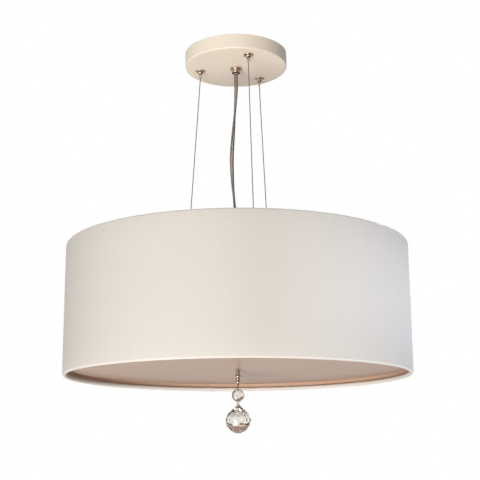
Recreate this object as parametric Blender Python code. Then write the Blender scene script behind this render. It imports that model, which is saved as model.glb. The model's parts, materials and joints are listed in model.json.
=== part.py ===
"""Crystal pendant light: a wide fabric drum hung from a round ceiling canopy on three steel cables.

Metres, +Z up. The origin is on the ceiling, on the light's upright axis, and everything hangs below it.
The side that is mostly looked at faces -Y. Angles are measured from +X towards +Y.
"""

import math

import bmesh
import bpy
from mathutils import Matrix, Vector

# Clearances and cutting
GAP = 0.0003  # between pieces that touch
HOLE_EASE = 0.0003  # round a bolt, pipe, cord or cable in its hole
OVERRUN = 0.002  # how far a cutter runs past what it cuts
MERGE = 0.000001  # points closer than this are one point

# Smoothness
SHADE_SIDES = 48
CANOPY_SIDES = 48
LAMP_SIDES = 16
FITTING_SIDES = 16
SMALL_SIDES = 12
NUT_CORNERS = 6
SHARP_ANGLE = math.radians(35)

# Drum shade
SHADE_RADIUS = 0.200
SHADE_HEIGHT = 0.150
SHADE_DROP = 0.248  # from the ceiling to the shade's top edge
FABRIC = 0.0005
LINING = 0.0004
RING_WIRE_RADIUS = 0.0016
RING_SIDES = 6
TOP_FOLD_TURN = math.radians(180)
HEM_FOLD_TURN = math.radians(240)
FOLD_STEP = math.radians(40)

# Canopy
CANOPY_RADIUS = 0.0625
CANOPY_HEIGHT = 0.018
CANOPY_WALL = 0.001
CANOPY_ROUNDING = 0.0014
CANOPY_ROUNDING_STEPS = 4

# Mounting plate
PLATE_EASE = 0.0035  # between the plate's edge and the canopy's wall
PLATE_THICKNESS = 0.002
PLATE_BORE_RADIUS = 0.011
SLOT_ANGLE = math.radians(17.5)
SLOT_EDGE = 0.0135  # from the plate's edge in to the middle of a slot's outer end
SLOT_LENGTH = 0.0095
SLOT_RADIUS = 0.0025
CABLE_PASS_RADIUS = 0.003
TAB_ANGLES = (math.radians(10), math.radians(170))
TAB_HALF_WIDTH = 0.005
TAB_THICKNESS = 0.0015
TAB_DEPTH = 0.011
TAB_ROOT = 0.008  # how far a tab's foot reaches back over the plate
CANOPY_SCREW_RADIUS = 0.002
CANOPY_SCREW_LENGTH = 0.006
CANOPY_SCREW_DROP = 0.008
SCREW_RECESS = 0.0002  # how deep the side screws sit in the canopy's wall

# Earth screw
EARTH_PLACE = Vector((0.024, -0.020, 0))
EARTH_SHANK_RADIUS = 0.002
EARTH_HEAD_RADIUS = 0.004
EARTH_HEAD_HEIGHT = 0.003

# Terminal block
BLOCK_SIZE = Vector((0.016, 0.026, 0.009))
BLOCK_OFFSET = 0.014  # from the light's axis to the block's near face
BLOCK_POLES = 3
BLOCK_POLE_PITCH = 0.008
POLE_WELL_RADIUS = 0.0021
POLE_WELL_DEPTH = 0.003

# Cord
CORD_RADIUS = 0.0022
CORD_SIDES = 10
CORD_ROUTE = (
    (0.0, 0.0, -0.0248),
    (0.0, 0.0, -0.034),
    (-0.0001, 0.0, -0.0485),
    (-0.0020, 0.0, -0.0805),
    (-0.0048, 0.0, -0.1170),
    (-0.0057, 0.0, -0.1380),
    (-0.0047, 0.0, -0.1680),
    (-0.0025, 0.0, -0.1940),
    (-0.0006, 0.0, -0.2200),
    (0.0, 0.0, -0.2380),
    (0.0, 0.0, -0.2497),
)
CORD_STEP = 0.010
LEAD_BEND = 0.0045
LEAD_BEND_STEPS = 4
LEAD_CLEARANCE = 0.001  # between the lead and the mounting plate above it

# Strain relief in the canopy
GLAND_FLANGE_RADIUS = 0.00725
GLAND_FLANGE_HEIGHT = 0.0025
GLAND_COLLAR_RADIUS = 0.0052
GLAND_COLLAR_HEIGHT = 0.0037
GLAND_SHANK_RADIUS = 0.005
GLAND_SHANK_HEIGHT = 0.0058
GLAND_EDGE = 0.0006
GLAND_NUT_RADIUS = 0.0081
GLAND_NUT_HEIGHT = 0.0032

# Suspension cables and their grippers
CABLE_RADIUS = 0.0006
CABLE_SIDES = 8
CABLE_ANGLES = (math.radians(-72.5), math.radians(47.5), math.radians(167.5))
GRIPPER_CIRCLE_SHARE = 0.72  # of the canopy's radius
ARM_CIRCLE = 0.061  # radius where the cables meet the shade's arms
GRIPPER_FLANGE_RADIUS = 0.0062
GRIPPER_FLANGE_HEIGHT = 0.0014
GRIPPER_EDGE = 0.0005
GRIPPER_BOSS_RADIUS = 0.0044  # where the boss leaves the flange
GRIPPER_BOSS_HEIGHT = 0.0023
GRIPPER_BOSS_WALL = 0.0007  # at the boss's lower end
GRIPPER_SHANK_RADIUS = 0.004
GRIPPER_SHANK_TOP = 0.005  # depth of the shank's top below the ceiling
GRIPPER_CROWN = 0.001
GRIPPER_CHAMBER_RADIUS = 0.0033
GRIPPER_LEDGE = 0.0022  # from the canopy's lower face up to the ledge
GRIPPER_NUT_RADIUS = 0.0069
GRIPPER_NUT_HEIGHT = 0.003
CABLE_STICKOUT = 0.0015

# Release plungers
PLUNGER_TRAVEL = 0.0015
PLUNGER_COLLAR_HEIGHT = 0.001
PLUNGER_RADIUS = 0.0018
PLUNGER_GRIP = 0.0035  # how much of the plunger still shows when it is pressed in
PLUNGER_TIP_RADIUS = 0.0013
PLUNGER_TAPER = 0.0009
SPRING_WIRE_RADIUS = 0.00022
SPRING_WIRE_SIDES = 6
SPRING_RADIUS = 0.0019
SPRING_TURNS = 4
SPRING_POINTS_PER_TURN = 8

# Spider frame
ARM_RECESS = 0.015  # from the shade's top edge down to the arms
ARM_WIDTH = 0.012
ARM_THICKNESS = 0.002
ARM_INNER = 0.016
ARM_BEND_INSET = 0.050  # from the shade's outside in to where the arm starts to rise
ARM_RISE_INSET = 0.012  # from the shade's outside in to the top of the rise
ARM_END_EASE = 0.0008
HUB_RADIUS = 0.035
HUB_THICKNESS = 0.0025
HUB_LAP = 0.001  # how far the hub is let into the arms' undersides
STOP_RADIUS = 0.0022
STOP_HEIGHT = 0.007
STOP_CAP = 0.001

# Threaded pipe, its nuts and the lamp cluster
PIPE_RADIUS = 0.005
PIPE_BORE_RADIUS = 0.0032
PIPE_NUT_RADIUS = 0.0088
PIPE_NUT_HEIGHT = 0.0025
CLUSTER_SIDES = 6
CLUSTER_FLAT = 0.030  # from the axis to a flat of the six-sided can
CLUSTER_HEIGHT = 0.044
CLUSTER_WALL = 0.0015
LAMP_DEPTH_SHARE = 0.45  # how far down the shade the lamps lie, as a share of its height
LID_THICKNESS = 0.0015
WIRE_HOLE_RADIUS = 0.005
BUSH_RADIUS = 0.008
BUSH_CHAMFER = 0.002
BUSH_ROOF = 0.0037
BUSH_SKIRT = 0.0069
COUPLER_RADIUS = 0.007
COUPLER_SOCKET = 0.006
COUPLER_WEB = 0.002

# Lampholders and lamps
LAMP_ANGLES = (math.radians(-12.5), math.radians(107.5), math.radians(227.5))
HOLDER_LENGTH = 0.044
HOLDER_FLOOR = 0.006
HOLDER_NECK_RADIUS = 0.0140
HOLDER_NECK_LENGTH = 0.005
CONTACT_HOLE_RADIUS = 0.002
HOLDER_WALL = 0.003
CAP_RADIUS = 0.0130
CAP_LENGTH = 0.025
CAP_WALL = 0.0006
CAP_TIP_RADIUS = 0.005
CAP_TIP_HEIGHT = 0.003
LAMP_LENGTH = 0.105
GLOBE_RADIUS = 0.030
NECK_RADIUS = 0.0128
GLASS_WALL = 0.001
GLOBE_STEPS = 7
GLOBE_TURN = math.radians(130)  # from the tip round to the neck's cone

# Diffuser and what holds it
DIFFUSER_RISE = 0.0092  # from the shade's bottom edge to the diffuser's underside
DIFFUSER_THICKNESS = 0.003
DIFFUSER_EASE = 0.0008
DIFFUSER_HOLE_RADIUS = 0.002
PAD_RADIUS = 0.008
PAD_THICKNESS = 0.001
WASHER_RADIUS = 0.003
WASHER_THICKNESS = 0.0006
ROD_RADIUS = 0.003
STUD_RADIUS = 0.00125
STUD_REACH = 0.008  # how much of the stud is inside the finial
STUD_CLEARANCE = 0.0008

# Finial
FINIAL_RADIUS = 0.0022
FINIAL_LENGTH = 0.0167
FINIAL_BEAD_RADIUS = 0.0036
FINIAL_BEAD_DEPTH = 0.0068  # from the finial's top to the middle of its large bead
FINIAL_BEAD_HEIGHT = 0.0034
FINIAL_RING_RADIUS = 0.0026
FINIAL_RING_DEPTH = 0.0106
FINIAL_RING_HEIGHT = 0.0016
FINIAL_TAPER = 0.0012
FINIAL_TIP_RADIUS = 0.0014
BEAD_STEPS = 5
EYE_RADIUS = 0.0016
EYE_THICKNESS = 0.0014
EYE_HOLE_RADIUS = 0.001

# Crystal strand
STRAND_TURN = math.radians(12)
LINK_WIRE_RADIUS = 0.0004
LINK_CORNER = 0.0012
LINK_CORNER_STEPS = 3
LINK_SIDES = 6
FINIAL_LINK_HALF_WIDTH = 0.0032
FINIAL_LINK_HEIGHT = 0.0079
BALL_LINK_HALF_WIDTH = 0.0038
BALL_LINK_HEIGHT = 0.0069
CRYSTAL_HOLE_RADIUS = 0.0008
CRYSTAL_BEAD_FLAT = 0.007
CRYSTAL_BEAD_SIDES = 8
CRYSTAL_BEAD_EDGE = 0.0012  # half the thickness at the rim
CRYSTAL_BEAD_HALF = 0.00325  # half the thickness in the middle
CRYSTAL_BEAD_TABLE = 0.004
CRYSTAL_BEAD_INSET = 0.0019  # from a flat to the hole's axis
CRYSTAL_BALL_RADIUS = 0.015
CRYSTAL_BALL_SIDES = 12
CRYSTAL_BALL_INSET = 0.0022  # from the tip to the hole's axis
BALL_HEIGHT_SHARES = (1.20, 0.87, 0.50, 0.0, -0.43, -0.80, -1.0)
BALL_RADIUS_SHARES = (0.053, 0.373, 0.773, 1.0, 0.893, 0.587, 0.20)

# Heights that follow from the sizes above
SHADE_TOP = -SHADE_DROP
SHADE_BOTTOM = SHADE_TOP - SHADE_HEIGHT
FOLD_RADIUS = RING_WIRE_RADIUS + GAP + FABRIC
RING_CIRCLE = SHADE_RADIUS - FOLD_RADIUS
TOP_RING_Z = SHADE_TOP - FOLD_RADIUS
BOTTOM_RING_Z = SHADE_BOTTOM + FOLD_RADIUS
LINING_OUTER = SHADE_RADIUS - FABRIC - GAP
CANOPY_FACE = -CANOPY_HEIGHT
CANOPY_FLOOR = CANOPY_FACE + CANOPY_WALL
PLATE_RADIUS = CANOPY_RADIUS - CANOPY_WALL - PLATE_EASE
SLOT_OUTER = PLATE_RADIUS - SLOT_EDGE
SLOT_INNER = SLOT_OUTER - SLOT_LENGTH
GRIPPER_CIRCLE = CANOPY_RADIUS * GRIPPER_CIRCLE_SHARE
GLAND_MOUTH = CANOPY_FACE - GAP - GLAND_FLANGE_HEIGHT - GLAND_COLLAR_HEIGHT
GLAND_TOP = CANOPY_FACE + GLAND_SHANK_HEIGHT
ARM_TOP = SHADE_TOP - ARM_RECESS
ARM_UNDER = ARM_TOP - ARM_THICKNESS
HUB_TOP = ARM_UNDER + HUB_LAP
HUB_UNDER = HUB_TOP - HUB_THICKNESS
ARM_BEND = SHADE_RADIUS - ARM_BEND_INSET
ARM_RISE_END = SHADE_RADIUS - ARM_RISE_INSET
LAMP_Z = SHADE_TOP - SHADE_HEIGHT * LAMP_DEPTH_SHARE
CLUSTER_TOP = LAMP_Z + CLUSTER_HEIGHT / 2
CLUSTER_OPEN = CLUSTER_TOP - CLUSTER_HEIGHT
LID_TOP = CLUSTER_OPEN - GAP
LID_UNDER = LID_TOP - LID_THICKNESS
BUSH_UNDER = HUB_TOP + GAP + PIPE_NUT_HEIGHT + GAP
PIPE_TOP = BUSH_UNDER + BUSH_SKIRT
BUSH_TOP = PIPE_TOP + GAP + BUSH_ROOF
LID_NUT_UNDER = LID_UNDER - GAP - PIPE_NUT_HEIGHT
COUPLER_TOP = LID_NUT_UNDER - GAP
PIPE_BOTTOM = COUPLER_TOP - COUPLER_SOCKET
COUPLER_BOTTOM = PIPE_BOTTOM - GAP - COUPLER_WEB - GAP - COUPLER_SOCKET
ROD_TOP = PIPE_BOTTOM - GAP - COUPLER_WEB - GAP
HOLDER_BACK = CLUSTER_FLAT + GAP
DIFFUSER_UNDER = SHADE_BOTTOM + DIFFUSER_RISE
DIFFUSER_TOP = DIFFUSER_UNDER + DIFFUSER_THICKNESS
PAD_TOP = DIFFUSER_TOP + GAP + PAD_THICKNESS
ROD_SHOULDER = PAD_TOP + GAP
FINIAL_TOP = DIFFUSER_UNDER - GAP - WASHER_THICKNESS - GAP
FINIAL_BOTTOM = FINIAL_TOP - FINIAL_LENGTH
EYE_Z = FINIAL_BOTTOM + EYE_RADIUS
FINIAL_LINK_TOP = EYE_Z - EYE_HOLE_RADIUS + GAP + LINK_WIRE_RADIUS
FINIAL_LINK_BOTTOM = FINIAL_LINK_TOP - FINIAL_LINK_HEIGHT
HOLE_TO_WIRE = CRYSTAL_HOLE_RADIUS - GAP - LINK_WIRE_RADIUS
BEAD_UPPER_HOLE = FINIAL_LINK_BOTTOM - HOLE_TO_WIRE
BEAD_CENTRE = BEAD_UPPER_HOLE + CRYSTAL_BEAD_INSET - CRYSTAL_BEAD_FLAT
BEAD_LOWER_HOLE = BEAD_CENTRE - CRYSTAL_BEAD_FLAT + CRYSTAL_BEAD_INSET
BALL_LINK_TOP = BEAD_LOWER_HOLE - HOLE_TO_WIRE
BALL_LINK_BOTTOM = BALL_LINK_TOP - BALL_LINK_HEIGHT
BALL_HOLE = BALL_LINK_BOTTOM - HOLE_TO_WIRE
BALL_CENTRE = BALL_HOLE + CRYSTAL_BALL_INSET - CRYSTAL_BALL_RADIUS * BALL_HEIGHT_SHARES[0]
BOSS_UNDER = CANOPY_FACE - GAP - GRIPPER_FLANGE_HEIGHT - GRIPPER_BOSS_HEIGHT
PLUNGER_TIP = BOSS_UNDER - PLUNGER_TRAVEL - PLUNGER_GRIP
GRIPPER_BORE = PLUNGER_RADIUS + GAP
COLLAR_UNDER = CANOPY_FACE + GRIPPER_LEDGE + GAP
COLLAR_TOP = COLLAR_UNDER + PLUNGER_COLLAR_HEIGHT
CHAMBER_TOP = -GRIPPER_SHANK_TOP - GRIPPER_CROWN
CABLE_BORE = CABLE_RADIUS + HOLE_EASE


def clear_scene():
    for obj in list(bpy.data.objects):
        bpy.data.objects.remove(obj, do_unlink=True)


def surface(name, colour, roughness, metallic=0.0, transmission=0.0, alpha=1.0):
    """A plain Principled material."""
    material = bpy.data.materials.new(name)
    material.use_nodes = True
    shader = material.node_tree.nodes["Principled BSDF"]
    shader.inputs["Base Color"].default_value = (*colour, 1.0)
    shader.inputs["Roughness"].default_value = roughness
    shader.inputs["Metallic"].default_value = metallic
    shader.inputs["Transmission Weight"].default_value = transmission
    shader.inputs["Alpha"].default_value = alpha
    material.diffuse_color = (*colour, alpha)
    return material


def make_surfaces():
    return {
        "powder_coat": surface("powder_coat", (0.86, 0.82, 0.76), 0.45),
        "zinc": surface("zinc", (0.62, 0.63, 0.64), 0.4, metallic=1.0),
        "nickel": surface("nickel", (0.70, 0.67, 0.62), 0.15, metallic=1.0),
        "green_steel": surface("green_steel", (0.05, 0.35, 0.10), 0.4, metallic=0.6),
        "cable_steel": surface("cable_steel", (0.50, 0.50, 0.50), 0.35, metallic=1.0),
        "spring_steel": surface("spring_steel", (0.55, 0.55, 0.56), 0.3, metallic=1.0),
        "brass": surface("brass", (0.75, 0.58, 0.28), 0.3, metallic=1.0),
        "clear_cord": surface("clear_cord", (0.60, 0.59, 0.56), 0.2),
        "white_plastic": surface("white_plastic", (0.85, 0.85, 0.83), 0.45),
        "porcelain": surface("porcelain", (0.90, 0.89, 0.86), 0.2),
        "fabric": surface("fabric", (0.83, 0.80, 0.76), 0.9),
        "lining": surface("lining", (0.88, 0.84, 0.78), 0.6),
        "acrylic": surface("acrylic", (0.78, 0.73, 0.68), 0.25, transmission=0.3),
        "silicone": surface("silicone", (0.85, 0.85, 0.83), 0.5, transmission=0.6),
        "lamp_glass": surface("lamp_glass", (0.95, 0.95, 0.93), 0.35, transmission=0.5),
        "crystal": surface("crystal", (0.97, 0.97, 0.97), 0.0, transmission=1.0),
    }


def turn_about(angle):
    return Matrix.Rotation(angle, 4, "Z")


def shifted(x, y, z):
    return Matrix.Translation((x, y, z))


def radial(angle, distance, height):
    """A frame whose Z axis points out from the light's axis at an angle, starting at a distance."""
    return turn_about(angle) @ shifted(distance, 0, height) @ Matrix.Rotation(math.pi / 2, 4, "Y")


def crosswise(height):
    """A frame on the light's axis whose Z axis runs along the strand's hole direction."""
    return turn_about(STRAND_TURN) @ shifted(0, 0, height) @ Matrix.Rotation(math.pi / 2, 4, "X")


def arc(centre_radius, centre_height, radius, start, end, steps):
    """Points of an arc in an outline, with angles from outwards towards up."""
    angles = [start + (end - start) * i / steps for i in range(steps + 1)]
    return [
        (centre_radius + radius * math.cos(a), centre_height + radius * math.sin(a)) for a in angles
    ]


def add_turned(bm, outline, sides, placing=Matrix()):
    """Turn an outline of (radius, height) points round Z. Without ends on the axis it is a loop."""
    known = set(bm.verts)
    chain = [bm.verts.new((radius, 0, height)) for radius, height in outline]
    on_axis = outline[0][0] == 0 and outline[-1][0] == 0
    pairs = list(zip(chain, chain[1:])) + ([] if on_axis else [(chain[-1], chain[0])])
    edges = [bm.edges.new(pair) for pair in pairs]
    bmesh.ops.spin(
        bm,
        geom=chain + edges,
        cent=(0, 0, 0),
        axis=(0, 0, 1),
        angle=math.tau,
        steps=sides,
        use_merge=True,
    )
    fresh = [v for v in bm.verts if v not in known]
    bmesh.ops.remove_doubles(bm, verts=fresh, dist=MERGE)
    fresh = [v for v in bm.verts if v not in known]
    bmesh.ops.transform(bm, matrix=placing, verts=fresh)


def add_rod(bm, radius, length, sides, placing=Matrix()):
    """A plain cylinder from the placing's origin along its Z axis."""
    add_turned(bm, [(0, 0), (radius, 0), (radius, length), (0, length)], sides, placing)


def add_pipe(bm, outer, inner, length, sides, placing=Matrix()):
    add_turned(bm, [(inner, 0), (outer, 0), (outer, length), (inner, length)], sides, placing)


def add_block(bm, size, centre, placing=Matrix()):
    bmesh.ops.create_cube(
        bm, size=1, matrix=placing @ Matrix.Translation(centre) @ Matrix.Diagonal((*size, 1))
    )


def make_nut(name, corner_radius, bolt_radius, height, material, placing=Matrix()):
    """A six-sided nut with a plain round bore."""
    corners, bore = NUT_CORNERS, bolt_radius + HOLE_EASE
    steps = corners * 2
    bm = bmesh.new()
    rings = []
    for is_rim, z in ((True, 0), (True, height), (False, height), (False, 0)):
        ring = []
        for i in range(steps):
            angle = math.tau * i / steps
            flat_share = 1 if i % 2 == 0 else math.cos(math.pi / corners)
            reach = corner_radius * flat_share if is_rim else bore
            ring.append(bm.verts.new((reach * math.cos(angle), reach * math.sin(angle), z)))
        rings.append(ring)
    for ring, following in zip(rings, rings[1:] + rings[:1]):
        for i in range(steps):
            j = (i + 1) % steps
            bm.faces.new((ring[i], ring[j], following[j], following[i]))
    bmesh.ops.transform(bm, matrix=placing, verts=bm.verts)
    return place(name, bm, material)


def place(name, bm, material, origin=Vector((0, 0, 0))):
    """Make one named object from a bmesh, with its origin where its joint or seat is."""
    bmesh.ops.recalc_face_normals(bm, faces=bm.faces)
    bmesh.ops.translate(bm, vec=-origin, verts=bm.verts)
    mesh = bpy.data.meshes.new(name)
    bm.to_mesh(mesh)
    bm.free()
    mesh.materials.append(material)
    mesh.shade_smooth()
    mesh.set_sharp_from_angle(angle=SHARP_ANGLE)
    obj = bpy.data.objects.new(name, mesh)
    obj.location = origin
    bpy.context.scene.collection.objects.link(obj)
    return obj


def turned(name, outline, sides, material, placing=Matrix(), origin=Vector((0, 0, 0))):
    bm = bmesh.new()
    add_turned(bm, outline, sides, placing)
    return place(name, bm, material, origin)


def carve(target, tool_mesh, operation="DIFFERENCE"):
    """Cut a target with a hidden tool, or join the tool on to it."""
    bmesh.ops.recalc_face_normals(tool_mesh, faces=tool_mesh.faces)
    mesh = bpy.data.meshes.new(target.name + "_tool")
    tool_mesh.to_mesh(mesh)
    tool_mesh.free()
    tool = bpy.data.objects.new(target.name + "_tool", mesh)
    tool.hide_render = True
    tool.display_type = "WIRE"
    bpy.context.scene.collection.objects.link(tool)
    modifier = target.modifiers.new(operation.lower(), "BOOLEAN")
    modifier.operation = operation
    modifier.solver = "EXACT"
    modifier.object = tool
    return target


def tube(name, points, radius, sides, material, cyclic=False, origin=Vector((0, 0, 0))):
    """A tube along a list of points, closed at its ends, with an even number of sides from 6 up."""
    curve = bpy.data.curves.new(name, "CURVE")
    curve.dimensions = "3D"
    curve.bevel_depth = radius
    curve.bevel_resolution = sides // 2 - 2  # how a curve counts the sides of a tube
    curve.use_fill_caps = not cyclic
    spline = curve.splines.new("POLY")
    spline.points.add(len(points) - 1)
    for slot, point in zip(spline.points, points):
        slot.co = (*(Vector(point) - origin), 1)
    spline.use_cyclic_u = cyclic
    curve.materials.append(material)
    obj = bpy.data.objects.new(name, curve)
    obj.location = origin
    bpy.context.scene.collection.objects.link(obj)
    return obj


def smooth_route(route, step):
    """Points at an even step along a smooth curve through the route's own points."""
    knots = [Vector(p) for p in route]
    knots = [2 * knots[0] - knots[1]] + knots + [2 * knots[-1] - knots[-2]]
    fine = []
    for before, start, end, after in zip(knots, knots[1:], knots[2:], knots[3:]):
        pieces = max(2, math.ceil((end - start).length / step) * 4)
        for i in range(pieces):
            t = i / pieces
            fine.append(
                0.5
                * (
                    2 * start
                    + (end - before) * t
                    + (2 * before - 5 * start + 4 * end - after) * t**2
                    + (3 * start - before - 3 * end + after) * t**3
                )
            )
    fine.append(knots[-2])
    total = sum((b - a).length for a, b in zip(fine, fine[1:]))
    count = max(2, round(total / step))
    points, walked, target = [fine[0]], 0.0, total / count
    for a, b in zip(fine, fine[1:]):
        length = (b - a).length
        while len(points) < count and walked + length >= target * len(points):
            points.append(a.lerp(b, (target * len(points) - walked) / length))
        walked += length
    return points + [fine[-1]]


def make_mounting_plate(surfaces):
    """A steel disc with two bent tabs that the canopy's side screws go into."""
    bm = bmesh.new()
    add_turned(
        bm,
        [
            (PLATE_BORE_RADIUS, -PLATE_THICKNESS),
            (PLATE_RADIUS, -PLATE_THICKNESS),
            (PLATE_RADIUS, 0),
            (PLATE_BORE_RADIUS, 0),
        ],
        CANOPY_SIDES,
    )
    plate = place("mounting_plate", bm, surfaces["zinc"])
    inner_wall = CANOPY_RADIUS - CANOPY_WALL - GAP
    tab_face = math.sqrt(inner_wall**2 - TAB_HALF_WIDTH**2)
    tabs = bmesh.new()
    for angle in TAB_ANGLES:
        root = tab_face - TAB_ROOT
        outline = [
            (root, 0),
            (tab_face, 0),
            (tab_face, -TAB_DEPTH - PLATE_THICKNESS),
            (tab_face - TAB_THICKNESS, -TAB_DEPTH - PLATE_THICKNESS),
            (tab_face - TAB_THICKNESS, -PLATE_THICKNESS),
            (root, -PLATE_THICKNESS),
        ]
        add_extruded(tabs, outline, TAB_HALF_WIDTH, turn_about(angle))
    carve(plate, tabs, "UNION")
    holes = bmesh.new()
    depth = PLATE_THICKNESS + 2 * OVERRUN
    for angle in (SLOT_ANGLE, SLOT_ANGLE + math.pi):
        add_slot(holes, SLOT_INNER, SLOT_OUTER, SLOT_RADIUS, depth, turn_about(angle))
    for angle in CABLE_ANGLES:
        spot = turn_about(angle) @ shifted(GRIPPER_CIRCLE, 0, -PLATE_THICKNESS - OVERRUN)
        add_rod(holes, CABLE_PASS_RADIUS, depth, SMALL_SIDES, spot)
    earth_spot = shifted(EARTH_PLACE.x, EARTH_PLACE.y, -PLATE_THICKNESS - OVERRUN)
    add_rod(holes, EARTH_SHANK_RADIUS + HOLE_EASE, depth, SMALL_SIDES, earth_spot)
    for angle in TAB_ANGLES:
        start = tab_face - TAB_THICKNESS - OVERRUN
        reach = TAB_THICKNESS + 2 * OVERRUN
        spot = radial(angle, start, -CANOPY_SCREW_DROP)
        add_rod(holes, CANOPY_SCREW_RADIUS + HOLE_EASE, reach, SMALL_SIDES, spot)
    carve(plate, holes)


def add_extruded(bm, outline, half_width, placing=Matrix()):
    """A solid from an upright outline of (radius, height) points, as wide as two half widths."""
    known = set(bm.verts)
    near = [bm.verts.new((r, -half_width, z)) for r, z in outline]
    face = bm.faces.new(near)
    far = bmesh.ops.extrude_face_region(bm, geom=[face])["geom"]
    moved = [v for v in far if isinstance(v, bmesh.types.BMVert)]
    bmesh.ops.translate(bm, vec=(0, 2 * half_width, 0), verts=moved)
    fresh = [v for v in bm.verts if v not in known]
    bmesh.ops.transform(bm, matrix=placing, verts=fresh)


def add_slot(bm, inner, outer, radius, depth, placing=Matrix()):
    """A round-ended slot cutter along the placing's X axis, centred on the mounting plate's height."""
    half = SMALL_SIDES // 2
    ends = [
        (outer + radius * math.cos(a), radius * math.sin(a))
        for a in (math.pi * (i / half - 0.5) for i in range(half + 1))
    ] + [
        (inner + radius * math.cos(a), radius * math.sin(a))
        for a in (math.pi * (i / half + 0.5) for i in range(half + 1))
    ]
    known = set(bm.verts)
    low = [bm.verts.new((x, y, -PLATE_THICKNESS - OVERRUN)) for x, y in ends]
    face = bm.faces.new(low)
    high = bmesh.ops.extrude_face_region(bm, geom=[face])["geom"]
    moved = [v for v in high if isinstance(v, bmesh.types.BMVert)]
    bmesh.ops.translate(bm, vec=(0, 0, depth), verts=moved)
    fresh = [v for v in bm.verts if v not in known]
    bmesh.ops.transform(bm, matrix=placing, verts=fresh)


def make_canopy(surfaces):
    """The pan that shows under the ceiling, with its three gripper holes and two side holes."""
    rounding = CANOPY_ROUNDING
    inner_rounding = rounding - CANOPY_WALL
    outer_corner = arc(
        CANOPY_RADIUS - rounding, CANOPY_FACE + rounding, rounding, 0, -math.pi / 2, CANOPY_ROUNDING_STEPS
    )
    inner_corner = arc(
        CANOPY_RADIUS - rounding, CANOPY_FACE + rounding, inner_rounding, -math.pi / 2, 0, 2
    )
    bore = GLAND_SHANK_RADIUS + HOLE_EASE
    outline = (
        [(CANOPY_RADIUS - CANOPY_WALL, 0), (CANOPY_RADIUS, 0)]
        + outer_corner
        + [(bore, CANOPY_FACE), (bore, CANOPY_FLOOR)]
        + inner_corner
    )
    canopy = turned("canopy_cover", outline, CANOPY_SIDES, surfaces["powder_coat"])
    holes = bmesh.new()
    for angle in CABLE_ANGLES:
        spot = turn_about(angle) @ shifted(GRIPPER_CIRCLE, 0, CANOPY_FACE - OVERRUN)
        add_rod(holes, GRIPPER_SHANK_RADIUS + HOLE_EASE, CANOPY_WALL + 2 * OVERRUN, FITTING_SIDES, spot)
    for angle in TAB_ANGLES:
        spot = radial(angle, CANOPY_RADIUS - CANOPY_WALL - OVERRUN, -CANOPY_SCREW_DROP)
        add_rod(holes, CANOPY_SCREW_RADIUS + HOLE_EASE, CANOPY_WALL + 2 * OVERRUN, SMALL_SIDES, spot)
    carve(canopy, holes)


def make_canopy_screws(surfaces):
    """Two grub screws through the canopy's side into the plate's tabs."""
    start = CANOPY_RADIUS - SCREW_RECESS - CANOPY_SCREW_LENGTH
    for number, angle in enumerate(TAB_ANGLES, start=1):
        bm = bmesh.new()
        spot = radial(angle, start, -CANOPY_SCREW_DROP)
        add_rod(bm, CANOPY_SCREW_RADIUS, CANOPY_SCREW_LENGTH, SMALL_SIDES, spot)
        place(f"canopy_screw_{number}", bm, surfaces["powder_coat"])


def make_wiring(surfaces):
    """Earth screw, terminal block and the cord's inner end."""
    head_top = -PLATE_THICKNESS - GAP
    outline = [
        (0, head_top - EARTH_HEAD_HEIGHT),
        (EARTH_HEAD_RADIUS, head_top - EARTH_HEAD_HEIGHT),
        (EARTH_HEAD_RADIUS, head_top),
        (EARTH_SHANK_RADIUS, head_top),
        (EARTH_SHANK_RADIUS, -GAP),
        (0, -GAP),
    ]
    turned("earth_screw", outline, SMALL_SIDES, surfaces["green_steel"], Matrix.Translation(EARTH_PLACE))
    block_top = -PLATE_THICKNESS - GAP
    block_under = block_top - BLOCK_SIZE.z
    block_x = -BLOCK_OFFSET - BLOCK_SIZE.x / 2
    body = bmesh.new()
    add_block(body, BLOCK_SIZE, (block_x, 0, block_top - BLOCK_SIZE.z / 2))
    block = place("terminal_block", body, surfaces["white_plastic"])
    wells = bmesh.new()
    for i in range(BLOCK_POLES):
        y = (i - (BLOCK_POLES - 1) / 2) * BLOCK_POLE_PITCH
        spot = shifted(block_x, y, block_under - OVERRUN)
        add_rod(wells, POLE_WELL_RADIUS, POLE_WELL_DEPTH + OVERRUN, SMALL_SIDES, spot)
    carve(block, wells)
    lead_z = -PLATE_THICKNESS - LEAD_CLEARANCE - CORD_RADIUS
    bend = arc(-LEAD_BEND, lead_z - LEAD_BEND, LEAD_BEND, 0, math.pi / 2, LEAD_BEND_STEPS)
    route = [(0, GLAND_MOUTH)] + bend + [(GAP - BLOCK_OFFSET, lead_z)]
    points = [(x, 0, z) for x, z in route]
    tube("canopy_lead", points, CORD_RADIUS, CORD_SIDES, surfaces["clear_cord"])


def make_gland(surfaces):
    """The strain relief in the middle of the canopy, and its locknut."""
    under = CANOPY_FACE - GAP - GLAND_FLANGE_HEIGHT
    bore = CORD_RADIUS + HOLE_EASE
    outline = [
        (bore, GLAND_MOUTH),
        (GLAND_COLLAR_RADIUS - GLAND_EDGE, GLAND_MOUTH),
        (GLAND_COLLAR_RADIUS, GLAND_MOUTH + GLAND_EDGE),
        (GLAND_COLLAR_RADIUS, under),
        (GLAND_FLANGE_RADIUS - GLAND_EDGE, under),
        (GLAND_FLANGE_RADIUS, under + GLAND_EDGE),
        (GLAND_FLANGE_RADIUS, CANOPY_FACE - GAP),
        (GLAND_SHANK_RADIUS, CANOPY_FACE - GAP),
        (GLAND_SHANK_RADIUS, GLAND_TOP),
        (bore, GLAND_TOP),
    ]
    turned("cord_gland", outline, FITTING_SIDES, surfaces["nickel"])
    seat = shifted(0, 0, CANOPY_FLOOR + GAP)
    nickel = surfaces["nickel"]
    make_nut("cord_gland_nut", GLAND_NUT_RADIUS, GLAND_SHANK_RADIUS, GLAND_NUT_HEIGHT, nickel, seat)


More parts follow.
